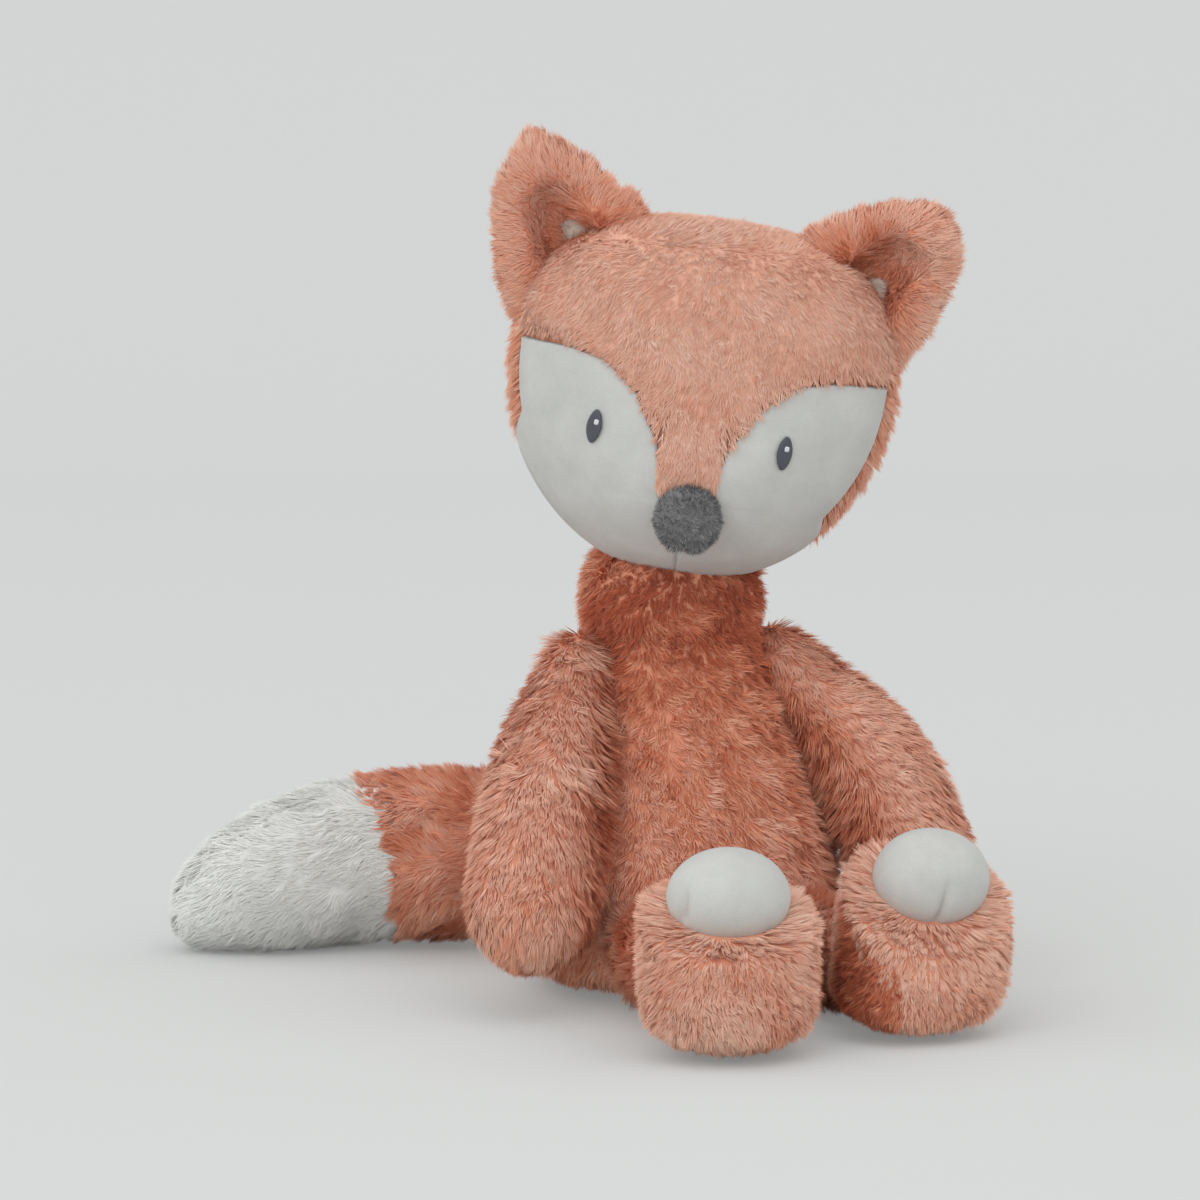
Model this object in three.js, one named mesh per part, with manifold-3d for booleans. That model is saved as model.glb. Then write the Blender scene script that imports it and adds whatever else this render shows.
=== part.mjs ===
// Plush fox, sitting. Millimetres, +Z up. The toy faces -Y, and its own left side is +X.
// The origin is on the floor, in the middle of the flat underside of its seat.
// Every stuffed form is a skin of sewn fur fabric, open at its seams, round a core of stuffing.

import * as THREE from 'three';
import { mergeVertices } from 'three/addons/utils/BufferGeometryUtils.js';
import Module from 'manifold-3d';

const wasm = await Module();
wasm.setup();

const { Vector3 } = THREE;
const rad = THREE.MathUtils.degToRad;
const lerp = THREE.MathUtils.lerp;

// Gaps and skins
const GAP = 0.3; // between pieces that touch
const SWEEP_GAP = 0.7; // extra room where a limb moves past its neighbour
const FUR_SKIN = 6; // long pile and its knitted backing
const FACE_SKIN = 4.5; // head panels
const FLOOR_SINK = 0.5; // a form is cut flat this deep where it stands
const OVERRUN = 60; // how far a cutting block runs past what it cuts

// Body: a pear that narrows to a round neck seam
const BODY_HALF_WIDTH = 59;
const BODY_HALF_DEPTH = 51;
const BODY_HEIGHT = 125; // floor to neck seam
const BODY_WAIST = 30; // height of the widest ring
const BODY_FULLNESS = 2.1; // 2 is an ellipse, more is squarer
const BASE_FULLNESS = 5; // how square the seat turns into the sides
const NECK_BACK = 9; // the neck stands this far behind the middle of the seat
const NECK_SEAM_RADIUS = 29.5;
// Share of the way from waist to neck seam, and the share of the bulge that is left there
const PEAR_SHARES = [
  [0, 1],
  [0.18, 0.95],
  [0.38, 0.7],
  [0.59, 0.42],
  [0.78, 0.17],
  [0.93, 0.02],
  [1, 0],
  [1.3, 0],
];
const BASE_RING_SHARES = [0.995, 0.95, 0.8, 0.55, 0.28];

// Neck: a stuffed ball that the head nods and leans on
const NECK_BALL_RADIUS = 31;
const NECK_BALL_RISE = 8; // centre of the ball above the neck seam
const NECK_SLEEVE_RISE = 16; // top of the fur sleeve above the ball's centre

// Head, about its own centre: widest above the middle, narrowing to a round chin
const HEAD_HALF_WIDTH = 69;
const HEAD_FRONT_DEPTH = 49;
const HEAD_BACK_DEPTH = 51;
const HEAD_CROWN = 60.5; // top of the head above its centre
const HEAD_CHIN = 65; // chin below its centre
const HEAD_WIDEST = 8; // height of the widest ring above the centre
const CROWN_FULLNESS = 2.5;
const CHIN_FULLNESS = 2;
const HEAD_FULLNESS = 2.2;
const HEAD_RISE = 73.5; // head centre above the neck ball's centre
const HEAD_FORWARD = 6; // head centre in front of the neck ball's centre
const HEAD_TURN = -22; // degrees, towards its own right
const HEAD_LEAN = -8; // degrees, towards its own left shoulder
const FACE_SEAM = 17; // seam between face and back of the head, in front of the centre
const MUZZLE_LENGTH = 12;
const MUZZLE_SPREAD = 24;
const MUZZLE_DROP = 38; // muzzle below the head's centre
// Lower edge of the brow: out from the middle, and up, as shares of the half width and the crown
const BROW_SHARES = [
  [1.3, 0.21],
  [0.94, 0.2],
  [0.72, 0.2],
  [0.5, 0.145],
  [0.34, 0],
  [0.22, -0.23],
  [0.165, -0.42],
  [0.15, -0.58],
];

// Nose and eyes
const NOSE_HALF_WIDTH = 12;
const NOSE_HALF_HEIGHT = 12.5;
const NOSE_HALF_DEPTH = 10;
const NOSE_DROP = 39.5; // below the head's centre
const NOSE_ASIDE = 2; // sewn on this far to the toy's left
const NOSE_PROUD = 3; // its centre in front of the muzzle
const NOSE_NOTCH = 2; // radius of the stitched notch under it
const EYE_SPACING = 64.5;
const EYE_ASIDE = -1.3; // both eyes stand this far to the toy's right
const EYE_DROP = 13.4;
const EYE_HALF_WIDTH = 3;
const EYE_HALF_HEIGHT = 5.6;
const EYE_THREAD = 0.9; // thickness of the satin stitches
const EYE_SLANT = 6; // degrees, tops towards the nose

// Ears: padded triangles with a hollow front, in the seam behind the brow.
// Each edge is a row of places [x, z] from inside the head to the tip, laid out on the left.
const EAR_LEFT_INNER = [[16, 44], [26, 60], [37, 67.5], [49, 73], [62, 77]];
const EAR_LEFT_OUTER = [[56, 6], [70, 20], [78, 38], [83, 56], [81, 73]];
const EAR_RIGHT_INNER = [[16, 45], [26, 62], [37, 68.5], [48, 76], [60, 85]];
const EAR_RIGHT_OUTER = [[56, 4], [70, 18], [77, 36], [81, 57], [78, 80]];
const EAR_HALF_THICKNESS = 11;
const EAR_BACK = -8; // middle of the ear along Y from the head's centre
const EAR_HOLLOW = 11; // depth of the hollow front
const EAR_LINING_SET = 5; // the lining lies this far below the ear's front
const EAR_FULLNESS = 2.3;
const EAR_HOLLOW_SHARE = 0.62; // share of the ear's length that is hollow
const EAR_HOLLOW_WIDTH_SHARE = 0.5; // share of its width
const EAR_TIP_SHARE = 0.3; // share of its length that rounds over into the tip

// Arms: teardrops sewn into the sides under the neck
const SHOULDER = [33, 4, 116];
const ARM_ROOT = [25, 6, 121];
const ELBOW_RIGHT = [56, -22, 74];
const ELBOW_LEFT = [66, -18, 74];
const PAW_RIGHT = [69, -40, 33];
const PAW_LEFT = [77, -36, 32];
const PAW_ROUND = 20; // the form runs on past the paw's centre by this much
const ARM_HALF_WIDTH = 25.5;
const ARM_HALF_DEPTH = 21;
const ARM_RAISE = 55; // degrees forward and up from rest
const ARM_BACK_SWING = 8; // degrees back from rest
const ARM_WIDTH_SHARES = [
  [0, 0.56],
  [0.16, 0.66],
  [0.4, 0.88],
  [0.65, 1],
  [0.85, 1],
  [1, 0.98],
];

// Legs and feet: short tubes lying forward, each ending in a stubby drum with a toe pad
const HIP = [25, -47, 21];
const LEG_RADIUS = 20.5;
const ANKLE_OVERLAP = 22; // the leg's form runs this far into the foot's
const FOOT_RIGHT = [29, -119, 0];
const FOOT_LEFT = [40, -108, 0];
const FOOT_HALF_WIDTH = 31.5;
const FOOT_HALF_LENGTH = 28.5;
const FOOT_HEIGHT = 51.5; // floor to the middle of the toe face
const FOOT_BASE_SHARE = 0.82; // width of the sole as a share of the drum
const FOOT_BELLY_SHARE = 0.5; // share of the height where the drum is widest
const FOOT_RIM_ROUND = 9;
const FOOT_SOLE_ROUND = 14;
const FOOT_FULLNESS = 2.2;
const TOE_TILT_RIGHT = 26; // degrees, the toe face leans forward
const TOE_TILT_LEFT = 44;
const FOOT_TURN_RIGHT = 12; // degrees, toes outward
const FOOT_TURN_LEFT = 4;
const FOOT_SPLAY_RIGHT = 0; // the toe face stands this far outside the sole
const FOOT_SPLAY_LEFT = 7;
const TOE_CAP_HALF_WIDTH = 20.5;
const TOE_CAP_HALF_LENGTH = 17.5;
const TOE_CAP_BULGE = 16;
const LEG_LIFT = 20; // degrees up from rest
const LEG_DROP = 90; // degrees down from rest, to a hanging leg

// Tail: fat, lying on the floor towards the toy's right
const TAIL_PIVOT = [0, 50, 29];
const TAIL_BEND = [-36, 86, 33.5];
const TAIL_MIDDLE = [-84, 106, 32];
const TAIL_DROOP = [-125, 112, 21];
const TAIL_END = [-152, 116, 6];
const TAIL_ROOT_RADIUS = 20;
const TAIL_RADIUS = 33.5;
const TAIL_TIP_ROUND = 65; // length of the rounded tip
const TAIL_SEAM_SHARE = 0.56; // where the white tip begins along the tail
const TAIL_SWING = 75; // degrees, past straight back
// Share along the tail, and the share of the radius there
const TAIL_SHARES = [
  [0, 0.6],
  [0.13, 0.6],
  [0.2, 0.63],
  [0.3, 0.81],
  [0.42, 0.99],
  [0.6, 0.98],
  [0.8, 0.95],
  [1, 0.93],
];

// Facets
const AROUND = 20; // points round a limb
const AROUND_LARGE = 24; // points round the body and the head
const STEPS = 10; // rings along a limb
const STEPS_LARGE = 14;
const BROW_STEPS = 16; // points along half of the brow's edge
const SWEEP_STEPS = 5; // places at which the body is laid out past a swinging arm, less one
const SOCKET_STEPS = 2; // and a leg or the tail in its socket, whose ends of travel cut the most
const SWEEP_AROUND = 14; // points round a limb that is laid out so
const SOCKET_RINGS = 9;

// Finishes
function fabric(color, roughness) {
  return new THREE.MeshStandardMaterial({ color, roughness, metalness: 0 });
}
const furFabric = () => fabric(0xc48a74, 0.95);
const whiteFur = () => fabric(0xd3d3d0, 0.95);
const velboa = () => fabric(0xd0d1cf, 0.9);
const noseFelt = () => fabric(0x68686a, 0.95);
const satinThread = () => fabric(0x4b4d56, 0.5);
const stuffing = () => fabric(0xefeeea, 1);

// Solids
function toSolid(geometry) {
  const bare = geometry.clone();
  bare.deleteAttribute('normal');
  bare.deleteAttribute('uv');
  const merged = mergeVertices(bare);
  const source = {
    numProp: 3,
    vertProperties: new Float32Array(merged.attributes.position.array),
    triVerts: new Uint32Array(merged.index.array),
  };
  return new wasm.Manifold(new wasm.Mesh(source));
}

function toGeometry(solid) {
  const mesh = solid.getMesh();
  const geometry = new THREE.BufferGeometry();
  geometry.setAttribute('position', new THREE.BufferAttribute(mesh.vertProperties, 3));
  geometry.setIndex(new THREE.BufferAttribute(mesh.triVerts, 1));
  geometry.computeVertexNormals();
  return geometry;
}

function subtract(solid, ...tools) {
  return tools.reduce((rest, tool) => rest.subtract(tool), solid);
}

function join(solids) {
  return solids.reduce((sum, solid) => sum.add(solid));
}

function moved(solid, matrix) {
  return solid.transform(matrix.elements);
}

// The part of a solid that lies beyond a plane through a point, on the side its normal points to
function beyond(solid, point, normal) {
  return solid.trimByPlane(normal.toArray(), normal.dot(point));
}

// An ellipsoid from three half sizes
function ellipsoid(halfX, halfY, halfZ, around, along) {
  const ball = new THREE.SphereGeometry(1, around, along);
  ball.rotateX(Math.PI / 2);
  ball.scale(halfX, halfY, halfZ);
  return toSolid(ball);
}

// A smooth value read from a table of rows [place, value]
function readTable(rows, place) {
  const places = rows.map((row) => row[0]);
  const values = rows.map((row) => row[1]);
  const last = places.length - 1;
  const held = Math.min(Math.max(place, places[0]), places[last]);
  return new THREE.CubicInterpolant(places, values, 1).evaluate(held)[0];
}

// One rounded ring of points, square to side and front
function ring(centre, side, front, halfWidth, halfDepth, fullness, count) {
  const points = [];
  for (let i = 0; i < count; i += 1) {
    const angle = (2 * Math.PI * i) / count;
    const across = Math.sign(Math.cos(angle)) * Math.abs(Math.cos(angle)) ** (2 / fullness);
    const deep = Math.sign(Math.sin(angle)) * Math.abs(Math.sin(angle)) ** (2 / fullness);
    const point = centre.clone();
    point.addScaledVector(side, across * halfWidth);
    point.addScaledVector(front, deep * halfDepth);
    points.push(point);
  }
  return points;
}

// A closed form through rings of equal count, with a point at each end
function loft(rings, startPole, endPole) {
  const count = rings[0].length;
  const points = [startPole, ...rings.flat(), endPole];
  const index = [];
  for (let i = 0; i < count; i += 1) {
    const next = (i + 1) % count;
    index.push(0, 1 + next, 1 + i);
    for (let r = 0; r + 1 < rings.length; r += 1) {
      const here = 1 + r * count;
      const above = here + count;
      index.push(here + i, here + next, above + next, here + i, above + next, above + i);
    }
    const top = 1 + (rings.length - 1) * count;
    index.push(top + i, top + next, points.length - 1);
  }
  const geometry = new THREE.BufferGeometry().setFromPoints(points);
  geometry.setIndex(index);
  const solid = toSolid(geometry);
  if (solid.volume() > 0) {
    return solid;
  }
  const flipped = index.slice();
  for (let i = 0; i < flipped.length; i += 3) {
    [flipped[i], flipped[i + 1]] = [flipped[i + 1], flipped[i]];
  }
  geometry.setIndex(flipped);
  return toSolid(geometry);
}

// How full a form is at a distance from its rounded end
function endRound(distance, length) {
  const left = Math.max(0, 1 - distance / length);
  return Math.sqrt(Math.max(0, 1 - left * left));
}

// A stuffed tube along a curve, rounded at both ends. grow moves its whole surface out, or in below zero.
function stuffedTube({ path, sideHint, size, startRound, tipRound, grow, around, steps }) {
  const curve = new THREE.CatmullRomCurve3(path, false, 'centripetal');
  const length = curve.getLength();
  const total = length + 2 * grow;
  const rings = [];
  const place = (along) => {
    const share = Math.min(Math.max(along / length, 0), 1);
    const tangent = curve.getTangentAt(share);
    const centre = curve.getPointAt(share).addScaledVector(tangent, along - share * length);
    return { share, tangent, centre };
  };
  for (let i = 1; i < steps; i += 1) {
    const fromStart = (total * (1 - Math.cos((Math.PI * i) / steps))) / 2;
    const { share, tangent, centre } = place(fromStart - grow);
    const front = new Vector3().crossVectors(tangent, sideHint).normalize();
    const side = new Vector3().crossVectors(front, tangent).normalize();
    const round = endRound(fromStart, startRound + grow)
      * endRound(total - fromStart, tipRound + grow);
    const [halfWidth, halfDepth] = size(share);
    rings.push(ring(centre, side, front, (halfWidth + grow) * round,
      (halfDepth + grow) * round, 2, around));
  }
  return loft(rings, place(-grow).centre, place(length + grow).centre);
}

// A hidden form, inside its skin, has half the points
function pointsAround(count, grow) {
  return grow < 0 ? count / 2 : count;
}

// Places and directions
function at(place) {
  return new Vector3(...place);
}

const sideways = new Vector3(1, 0, 0);
const backward = new Vector3(0, 1, 0);
const upward = new Vector3(0, 0, 1);
const forwardSwing = new Vector3(-1, 0, 0); // a positive turn about it lifts a limb forward

// Body
const neckPivot = new Vector3(0, NECK_BACK, BODY_HEIGHT + NECK_BALL_RISE);

function bodyForm(grow) {
  const rings = [];
  const around = pointsAround(AROUND_LARGE, grow);
  const addRing = (z, bulge, base) => {
    const lean = Math.max(0, (z - BODY_WAIST) / (BODY_HEIGHT - BODY_WAIST));
    const centre = new Vector3(0, NECK_BACK * Math.min(lean, 1), z);
    const halfWidth = (lerp(NECK_SEAM_RADIUS, BODY_HALF_WIDTH, bulge) + grow) * base;
    const halfDepth = (lerp(NECK_SEAM_RADIUS, BODY_HALF_DEPTH, bulge) + grow) * base;
    const fullness = lerp(2, BODY_FULLNESS, bulge);
    rings.push(ring(centre, sideways, backward, halfWidth, halfDepth, fullness, around));
  };
  const baseDepth = BODY_WAIST + FLOOR_SINK + grow;
  for (const share of BASE_RING_SHARES) {
    const base = (1 - share ** BASE_FULLNESS) ** (1 / BASE_FULLNESS);
    addRing(BODY_WAIST - baseDepth * share, 1, base);
  }
  for (const [share, bulge] of PEAR_SHARES) {
    addRing(lerp(BODY_WAIST, BODY_HEIGHT, share), bulge, 1);
  }
  const bottom = new Vector3(0, 0, BODY_WAIST - baseDepth);
  const lastShare = PEAR_SHARES[PEAR_SHARES.length - 1][0];
  const top = new Vector3(0, NECK_BACK, lerp(BODY_WAIST, BODY_HEIGHT, lastShare));
  return loft(rings, bottom, top).trimByPlane([0, 0, -1], -BODY_HEIGHT - grow);
}

// A form cut flat at the floor
function onFloor(solid) {
  return solid.trimByPlane([0, 0, 1], 0);
}

// A turn about an axis through a point, in degrees
function turnAbout(point, axis, degrees) {
  const there = new THREE.Matrix4().makeTranslation(point.x, point.y, point.z);
  const turn = new THREE.Matrix4().makeRotationAxis(axis, rad(degrees));
  const back = new THREE.Matrix4().makeTranslation(-point.x, -point.y, -point.z);
  return there.multiply(turn).multiply(back);
}

// The space that a solid passes through as it turns between two angles
function swept(solid, point, axis, fromDegrees, toDegrees, steps) {
  const copies = [];
  for (let i = 0; i <= steps; i += 1) {
    const angle = lerp(fromDegrees, toDegrees, i / steps);
    copies.push(moved(solid, turnAbout(point, axis, angle)));
  }
  return join(copies);
}

function makeBody() {
  const legs = join([legSweep(1), legSweep(-1)]);
  const tail = tailSweep();
  const cover = onFloor(subtract(bodyForm(0), bodyForm(-FUR_SKIN), legs, tail));
  const core = bodyForm(-FUR_SKIN - GAP);
  const filling = subtract(core, legs, tail).trimByPlane([0, 0, -1], -BODY_HEIGHT);
  return { cover: cover.trimByPlane([0, 0, -1], -BODY_HEIGHT), filling };
}

// Neck: about the ball's own centre. The sleeve is open at both ends, and the core fills the head's seat.
function makeNeck() {
  const ball = (grow) => ellipsoid(NECK_BALL_RADIUS + grow, NECK_BALL_RADIUS + grow,
    NECK_BALL_RADIUS + grow, pointsAround(AROUND_LARGE, grow), STEPS);
  const seam = new Vector3(0, 0, GAP - NECK_BALL_RISE);
  const sleeveTop = new Vector3(0, 0, NECK_SLEEVE_RISE);
  const coreTop = new Vector3(0, 0, NECK_SLEEVE_RISE + GAP);
  const downward = upward.clone().negate();
  const sleeve = ball(0).subtract(ball(-FUR_SKIN));
  const cap = beyond(ball(0), coreTop, upward);
  return {
    cover: beyond(beyond(sleeve, seam, upward), sleeveTop, downward),
    filling: beyond(ball(-FUR_SKIN - GAP), seam, upward).add(cap),
    clear: ball(GAP + NECK_BALL_RADIUS * (1 / Math.cos(Math.PI / STEPS / 2) - 1) * 2),
  };
}

// Legs and feet
function legTube(end, grow, around, steps) {
  const start = at(HIP).addScaledVector(backward, LEG_RADIUS);
  return stuffedTube({
    path: [start, at(HIP), end],
    sideHint: sideways,
    size: () => [LEG_RADIUS, LEG_RADIUS],
    startRound: LEG_RADIUS,
    tipRound: LEG_RADIUS,
    grow,
    around,
    steps,
  });
}

function heelOf(foot) {
  return new Vector3(foot.x, foot.y + FOOT_HALF_LENGTH - ANKLE_OVERLAP, at(HIP).z);
}

function legForm(foot, grow) {
  return legTube(heelOf(foot), grow, pointsAround(AROUND, grow), STEPS);
}

// The foot: rings that lean more and more towards the toe face
function footForm({ foot, tilt, turn, splay }, grow) {
  const height = FOOT_HEIGHT + FLOOR_SINK;
  const total = height + 2 * grow;
  const outward = new THREE.Matrix4().makeRotationZ(rad(turn));
  const side = sideways.clone().applyMatrix4(outward);
  const place = (up) => {
    const share = Math.min(Math.max((up - grow) / height, 0), 1);
    const lean = rad(tilt) * share;
    const centre = new Vector3(splay * share, 0, up - grow - FLOOR_SINK).add(foot);
    const front = new Vector3(0, -Math.cos(lean), -Math.sin(lean)).applyMatrix4(outward);
    return { share, centre, front };
  };
  const rings = [];
  for (let i = 1; i < STEPS; i += 1) {
    const up = (total * (1 - Math.cos((Math.PI * i) / STEPS))) / 2;
    const { share, centre, front } = place(up);
    const rise = Math.sin((Math.PI / 2) * Math.min(1, share / FOOT_BELLY_SHARE));
    const belly = lerp(FOOT_BASE_SHARE, 1, rise);
    const round = endRound(up, FOOT_SOLE_ROUND + grow)
      * endRound(total - up, FOOT_RIM_ROUND + grow);
    rings.push(ring(centre, side, front, (FOOT_HALF_WIDTH * belly + grow) * round,
      (FOOT_HALF_LENGTH * belly + grow) * round, FOOT_FULLNESS, pointsAround(AROUND, grow)));
  }
  return loft(rings, place(0).centre, place(total).centre);
}

// The toe pad: a dome that stands on the stuffing and swells through the foot's open top
function toeCapForm({ foot, tilt, turn, splay }, grow) {
  const floor = new Vector3(0, 0, -FUR_SKIN - grow);
  const dome = ellipsoid(TOE_CAP_HALF_WIDTH + grow, TOE_CAP_HALF_LENGTH + grow,
    TOE_CAP_BULGE + grow, AROUND, STEPS);
  const place = new THREE.Matrix4().makeTranslation(foot.x + splay, foot.y, FOOT_HEIGHT);
  place.multiply(new THREE.Matrix4().makeRotationZ(rad(turn)));
  place.multiply(new THREE.Matrix4().makeRotationX(rad(tilt)));
  return moved(beyond(dome, floor, upward), place);
}

const legSides = {
  1: {
    foot: at(FOOT_LEFT), tilt: TOE_TILT_LEFT, turn: FOOT_TURN_LEFT, splay: FOOT_SPLAY_LEFT,
  },
  [-1]: {
    foot: at(FOOT_RIGHT), tilt: TOE_TILT_RIGHT, turn: FOOT_TURN_RIGHT, splay: FOOT_SPLAY_RIGHT,
  },
};

// Legs are laid out on the left, and the right one is mirrored over
function onSide(solid, sign) {
  return sign > 0 ? solid : solid.mirror([1, 0, 0]);
}

// A coarse ring is drawn outside the true one, so that nothing of the limb is missed
function sweepGrowth(radius) {
  return SWEEP_GAP + 2 * radius * (1 / Math.cos(Math.PI / SWEEP_AROUND) - 1);
}

// The part of the leg that passes through the body's socket
function legSweep(sign) {
  const heel = heelOf(legSides[sign].foot);
  const stub = legTube(heel, sweepGrowth(LEG_RADIUS), SWEEP_AROUND, SOCKET_RINGS);
  return onSide(swept(stub, at(HIP), forwardSwing, -LEG_DROP, LEG_LIFT, SOCKET_STEPS), sign);
}

function makeLeg(sign) {
  const shape = legSides[sign];
  const { foot } = shape;
  const footSolid = (grow) => footForm(shape, grow);
  const capClear = toeCapForm(shape, GAP);
  const leg = subtract(legForm(foot, 0), legForm(foot, -FUR_SKIN), footSolid(GAP));
  const drum = subtract(footSolid(0), footSolid(-FUR_SKIN), legForm(foot, -FUR_SKIN), capClear);
  const core = footSolid(-FUR_SKIN - GAP).add(legForm(foot, -FUR_SKIN - GAP));
  return {
    leg: onSide(onFloor(leg), sign),
    foot: onSide(onFloor(drum), sign),
    toeCap: onSide(toeCapForm(shape, 0), sign),
    filling: onSide(subtract(core, capClear), sign),
  };
}

// Arms, also laid out on the left
function armForm(elbow, paw, grow) {
  const reach = paw.clone().sub(elbow).normalize();
  const end = paw.clone().addScaledVector(reach, PAW_ROUND);
  return stuffedTube({
    path: [at(ARM_ROOT), at(SHOULDER), elbow, paw, end],
    sideHint: sideways,
    size: (share) => {
      const full = readTable(ARM_WIDTH_SHARES, share);
      return [ARM_HALF_WIDTH * full, ARM_HALF_DEPTH * full];
    },
    startRound: ARM_HALF_WIDTH * ARM_WIDTH_SHARES[0][1],
    tipRound: ARM_HALF_WIDTH,
    grow,
    around: pointsAround(AROUND, grow),
    steps: STEPS,
  });
}

function makeArm(sign) {
  const [elbow, paw] = sign > 0 ? [at(ELBOW_LEFT), at(PAW_LEFT)] : [at(ELBOW_RIGHT), at(PAW_RIGHT)];
  const body = bodyForm(SWEEP_GAP);
  const past = swept(body, at(SHOULDER), forwardSwing, -ARM_RAISE, ARM_BACK_SWING, SWEEP_STEPS);
  const cover = subtract(armForm(elbow, paw, 0), armForm(elbow, paw, -FUR_SKIN), past);
  const filling = subtract(armForm(elbow, paw, -FUR_SKIN - GAP), past);
  return { cover: onSide(cover, sign), filling: onSide(filling, sign) };
}

// Tail
function tailPath() {
  const out = at(TAIL_BEND).sub(at(TAIL_PIVOT)).normalize();
  const start = at(TAIL_PIVOT).addScaledVector(out, -TAIL_ROOT_RADIUS);
  return [start, at(TAIL_PIVOT), at(TAIL_BEND), at(TAIL_MIDDLE), at(TAIL_DROOP), at(TAIL_END)];
}

function tailForm(grow) {
  return stuffedTube({
    path: tailPath(),
    sideHint: backward,
    size: (share) => {
      const radius = TAIL_RADIUS * readTable(TAIL_SHARES, share);
      return [radius, radius];
    },
    startRound: TAIL_ROOT_RADIUS,
    tipRound: TAIL_TIP_ROUND,
    grow,
    around: pointsAround(AROUND, grow),
    steps: STEPS_LARGE,
  });
}

function tailSweep() {
  const grow = sweepGrowth(TAIL_ROOT_RADIUS);
  const [start, pivot, bend] = tailPath();
  const stub = stuffedTube({
    path: [start, pivot, bend],
    sideHint: backward,
    size: () => [TAIL_ROOT_RADIUS, TAIL_ROOT_RADIUS],
    startRound: TAIL_ROOT_RADIUS,
    tipRound: TAIL_ROOT_RADIUS,
    grow,
    around: SWEEP_AROUND,
    steps: SOCKET_RINGS,
  });
  return swept(stub, at(TAIL_PIVOT), upward, -TAIL_SWING, 0, SOCKET_STEPS);
}

function makeTail() {
  const curve = new THREE.CatmullRomCurve3(tailPath(), false, 'centripetal');
  const seam = curve.getPointAt(TAIL_SEAM_SHARE);
  const along = curve.getTangentAt(TAIL_SEAM_SHARE);
  const past = seam.clone().addScaledVector(along, GAP);
  const skin = onFloor(tailForm(0).subtract(tailForm(-FUR_SKIN)));
  return {
    base: beyond(skin, seam, along.clone().negate()),
    tip: beyond(skin, past, along),
    filling: tailForm(-FUR_SKIN - GAP),
  };
}

// Head, laid out about its own centre
function headForm(grow) {
  const rings = [];
  const muzzleHeight = -MUZZLE_DROP;
  for (let i = 1; i < STEPS_LARGE; i += 1) {
    const polar = (Math.PI * i) / STEPS_LARGE;
    const crown = polar < Math.PI / 2;
    const fullness = crown ? CROWN_FULLNESS : CHIN_FULLNESS;
    const height = (crown ? HEAD_CROWN - HEAD_WIDEST : -HEAD_CHIN - HEAD_WIDEST);
    const tall = height + Math.sign(height) * grow;
    const z = HEAD_WIDEST + tall * Math.abs(Math.cos(polar)) ** (2 / fullness);
    const wide = Math.sin(polar) ** (2 / fullness);
    const points = ring(new Vector3(0, 0, z), sideways, backward,
      (HEAD_HALF_WIDTH + grow) * wide, (HEAD_BACK_DEPTH + grow) * wide, HEAD_FULLNESS,
      pointsAround(AROUND_LARGE, grow));
    for (const point of points) {
      if (point.y < 0) {
        const forward = Math.min(1, -point.y / MUZZLE_SPREAD);
        point.y *= (HEAD_FRONT_DEPTH + grow) / (HEAD_BACK_DEPTH + grow);
        const away = (point.x ** 2 + (z - muzzleHeight) ** 2) / (2 * MUZZLE_SPREAD ** 2);
        point.y -= MUZZLE_LENGTH * forward * Math.exp(-away);
      }
    }
    rings.push(points);
  }
  return loft(rings, new Vector3(0, 0, HEAD_CROWN + grow), new Vector3(0, 0, -HEAD_CHIN - grow));
}

// The brow panel's outline in the XZ plane, moved out by a distance
function browOutline(grow) {
  const edge = BROW_SHARES.map(([out, up]) => new Vector3(out * HEAD_HALF_WIDTH, up * HEAD_CROWN, 0));
  const right = new THREE.CatmullRomCurve3(edge, false, 'centripetal').getPoints(BROW_STEPS);
  const left = right.map((point) => new Vector3(-point.x, point.y, 0)).reverse();
  const lower = [...right, ...left];
  const outline = lower.map((point, i) => {
    const before = lower[Math.max(0, i - 1)];
    const after = lower[Math.min(lower.length - 1, i + 1)];
    const along = after.clone().sub(before).normalize();
    return new THREE.Vector2(point.x - along.y * grow, point.y + along.x * grow);
  });
  const top = HEAD_CROWN * BROW_SHARES[0][0];
  const wide = BROW_SHARES[0][0] * HEAD_HALF_WIDTH;
  outline.push(new THREE.Vector2(-wide, top), new THREE.Vector2(wide, top));
  return outline;
}

// A prism along Y from the seam forward, over an outline in the XZ plane
function facePrism(outline) {
  const depth = HEAD_FRONT_DEPTH + MUZZLE_LENGTH + OVERRUN;
  const prism = new THREE.ExtrudeGeometry(new THREE.Shape(outline), { depth, bevelEnabled: false });
  prism.rotateX(Math.PI / 2);
  return toSolid(prism);
}

// How far the head's front lies before its centre, at a place on the face
function faceDepth(x, z) {
  const thin = NOSE_NOTCH / 2;
  const probe = [[-thin, -thin], [thin, -thin], [thin, thin], [-thin, thin]];
  const outline = probe.map(([dx, dz]) => new THREE.Vector2(x + dx, z + dz));
  return facePrism(outline).intersect(headForm(0)).boundingBox().min[1];
}

function makeNose(headClear) {
  const y = faceDepth(NOSE_ASIDE, -NOSE_DROP) - NOSE_PROUD;
  const ball = ellipsoid(NOSE_HALF_WIDTH, NOSE_HALF_DEPTH, NOSE_HALF_HEIGHT, AROUND, STEPS);
  const notch = new THREE.CylinderGeometry(NOSE_NOTCH, NOSE_NOTCH, 4 * NOSE_HALF_DEPTH, STEPS);
  const groove = toSolid(notch).translate(0, 0, -NOSE_HALF_HEIGHT);
  return subtract(ball.subtract(groove).translate(NOSE_ASIDE, y, -NOSE_DROP), headClear);
}

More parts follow.
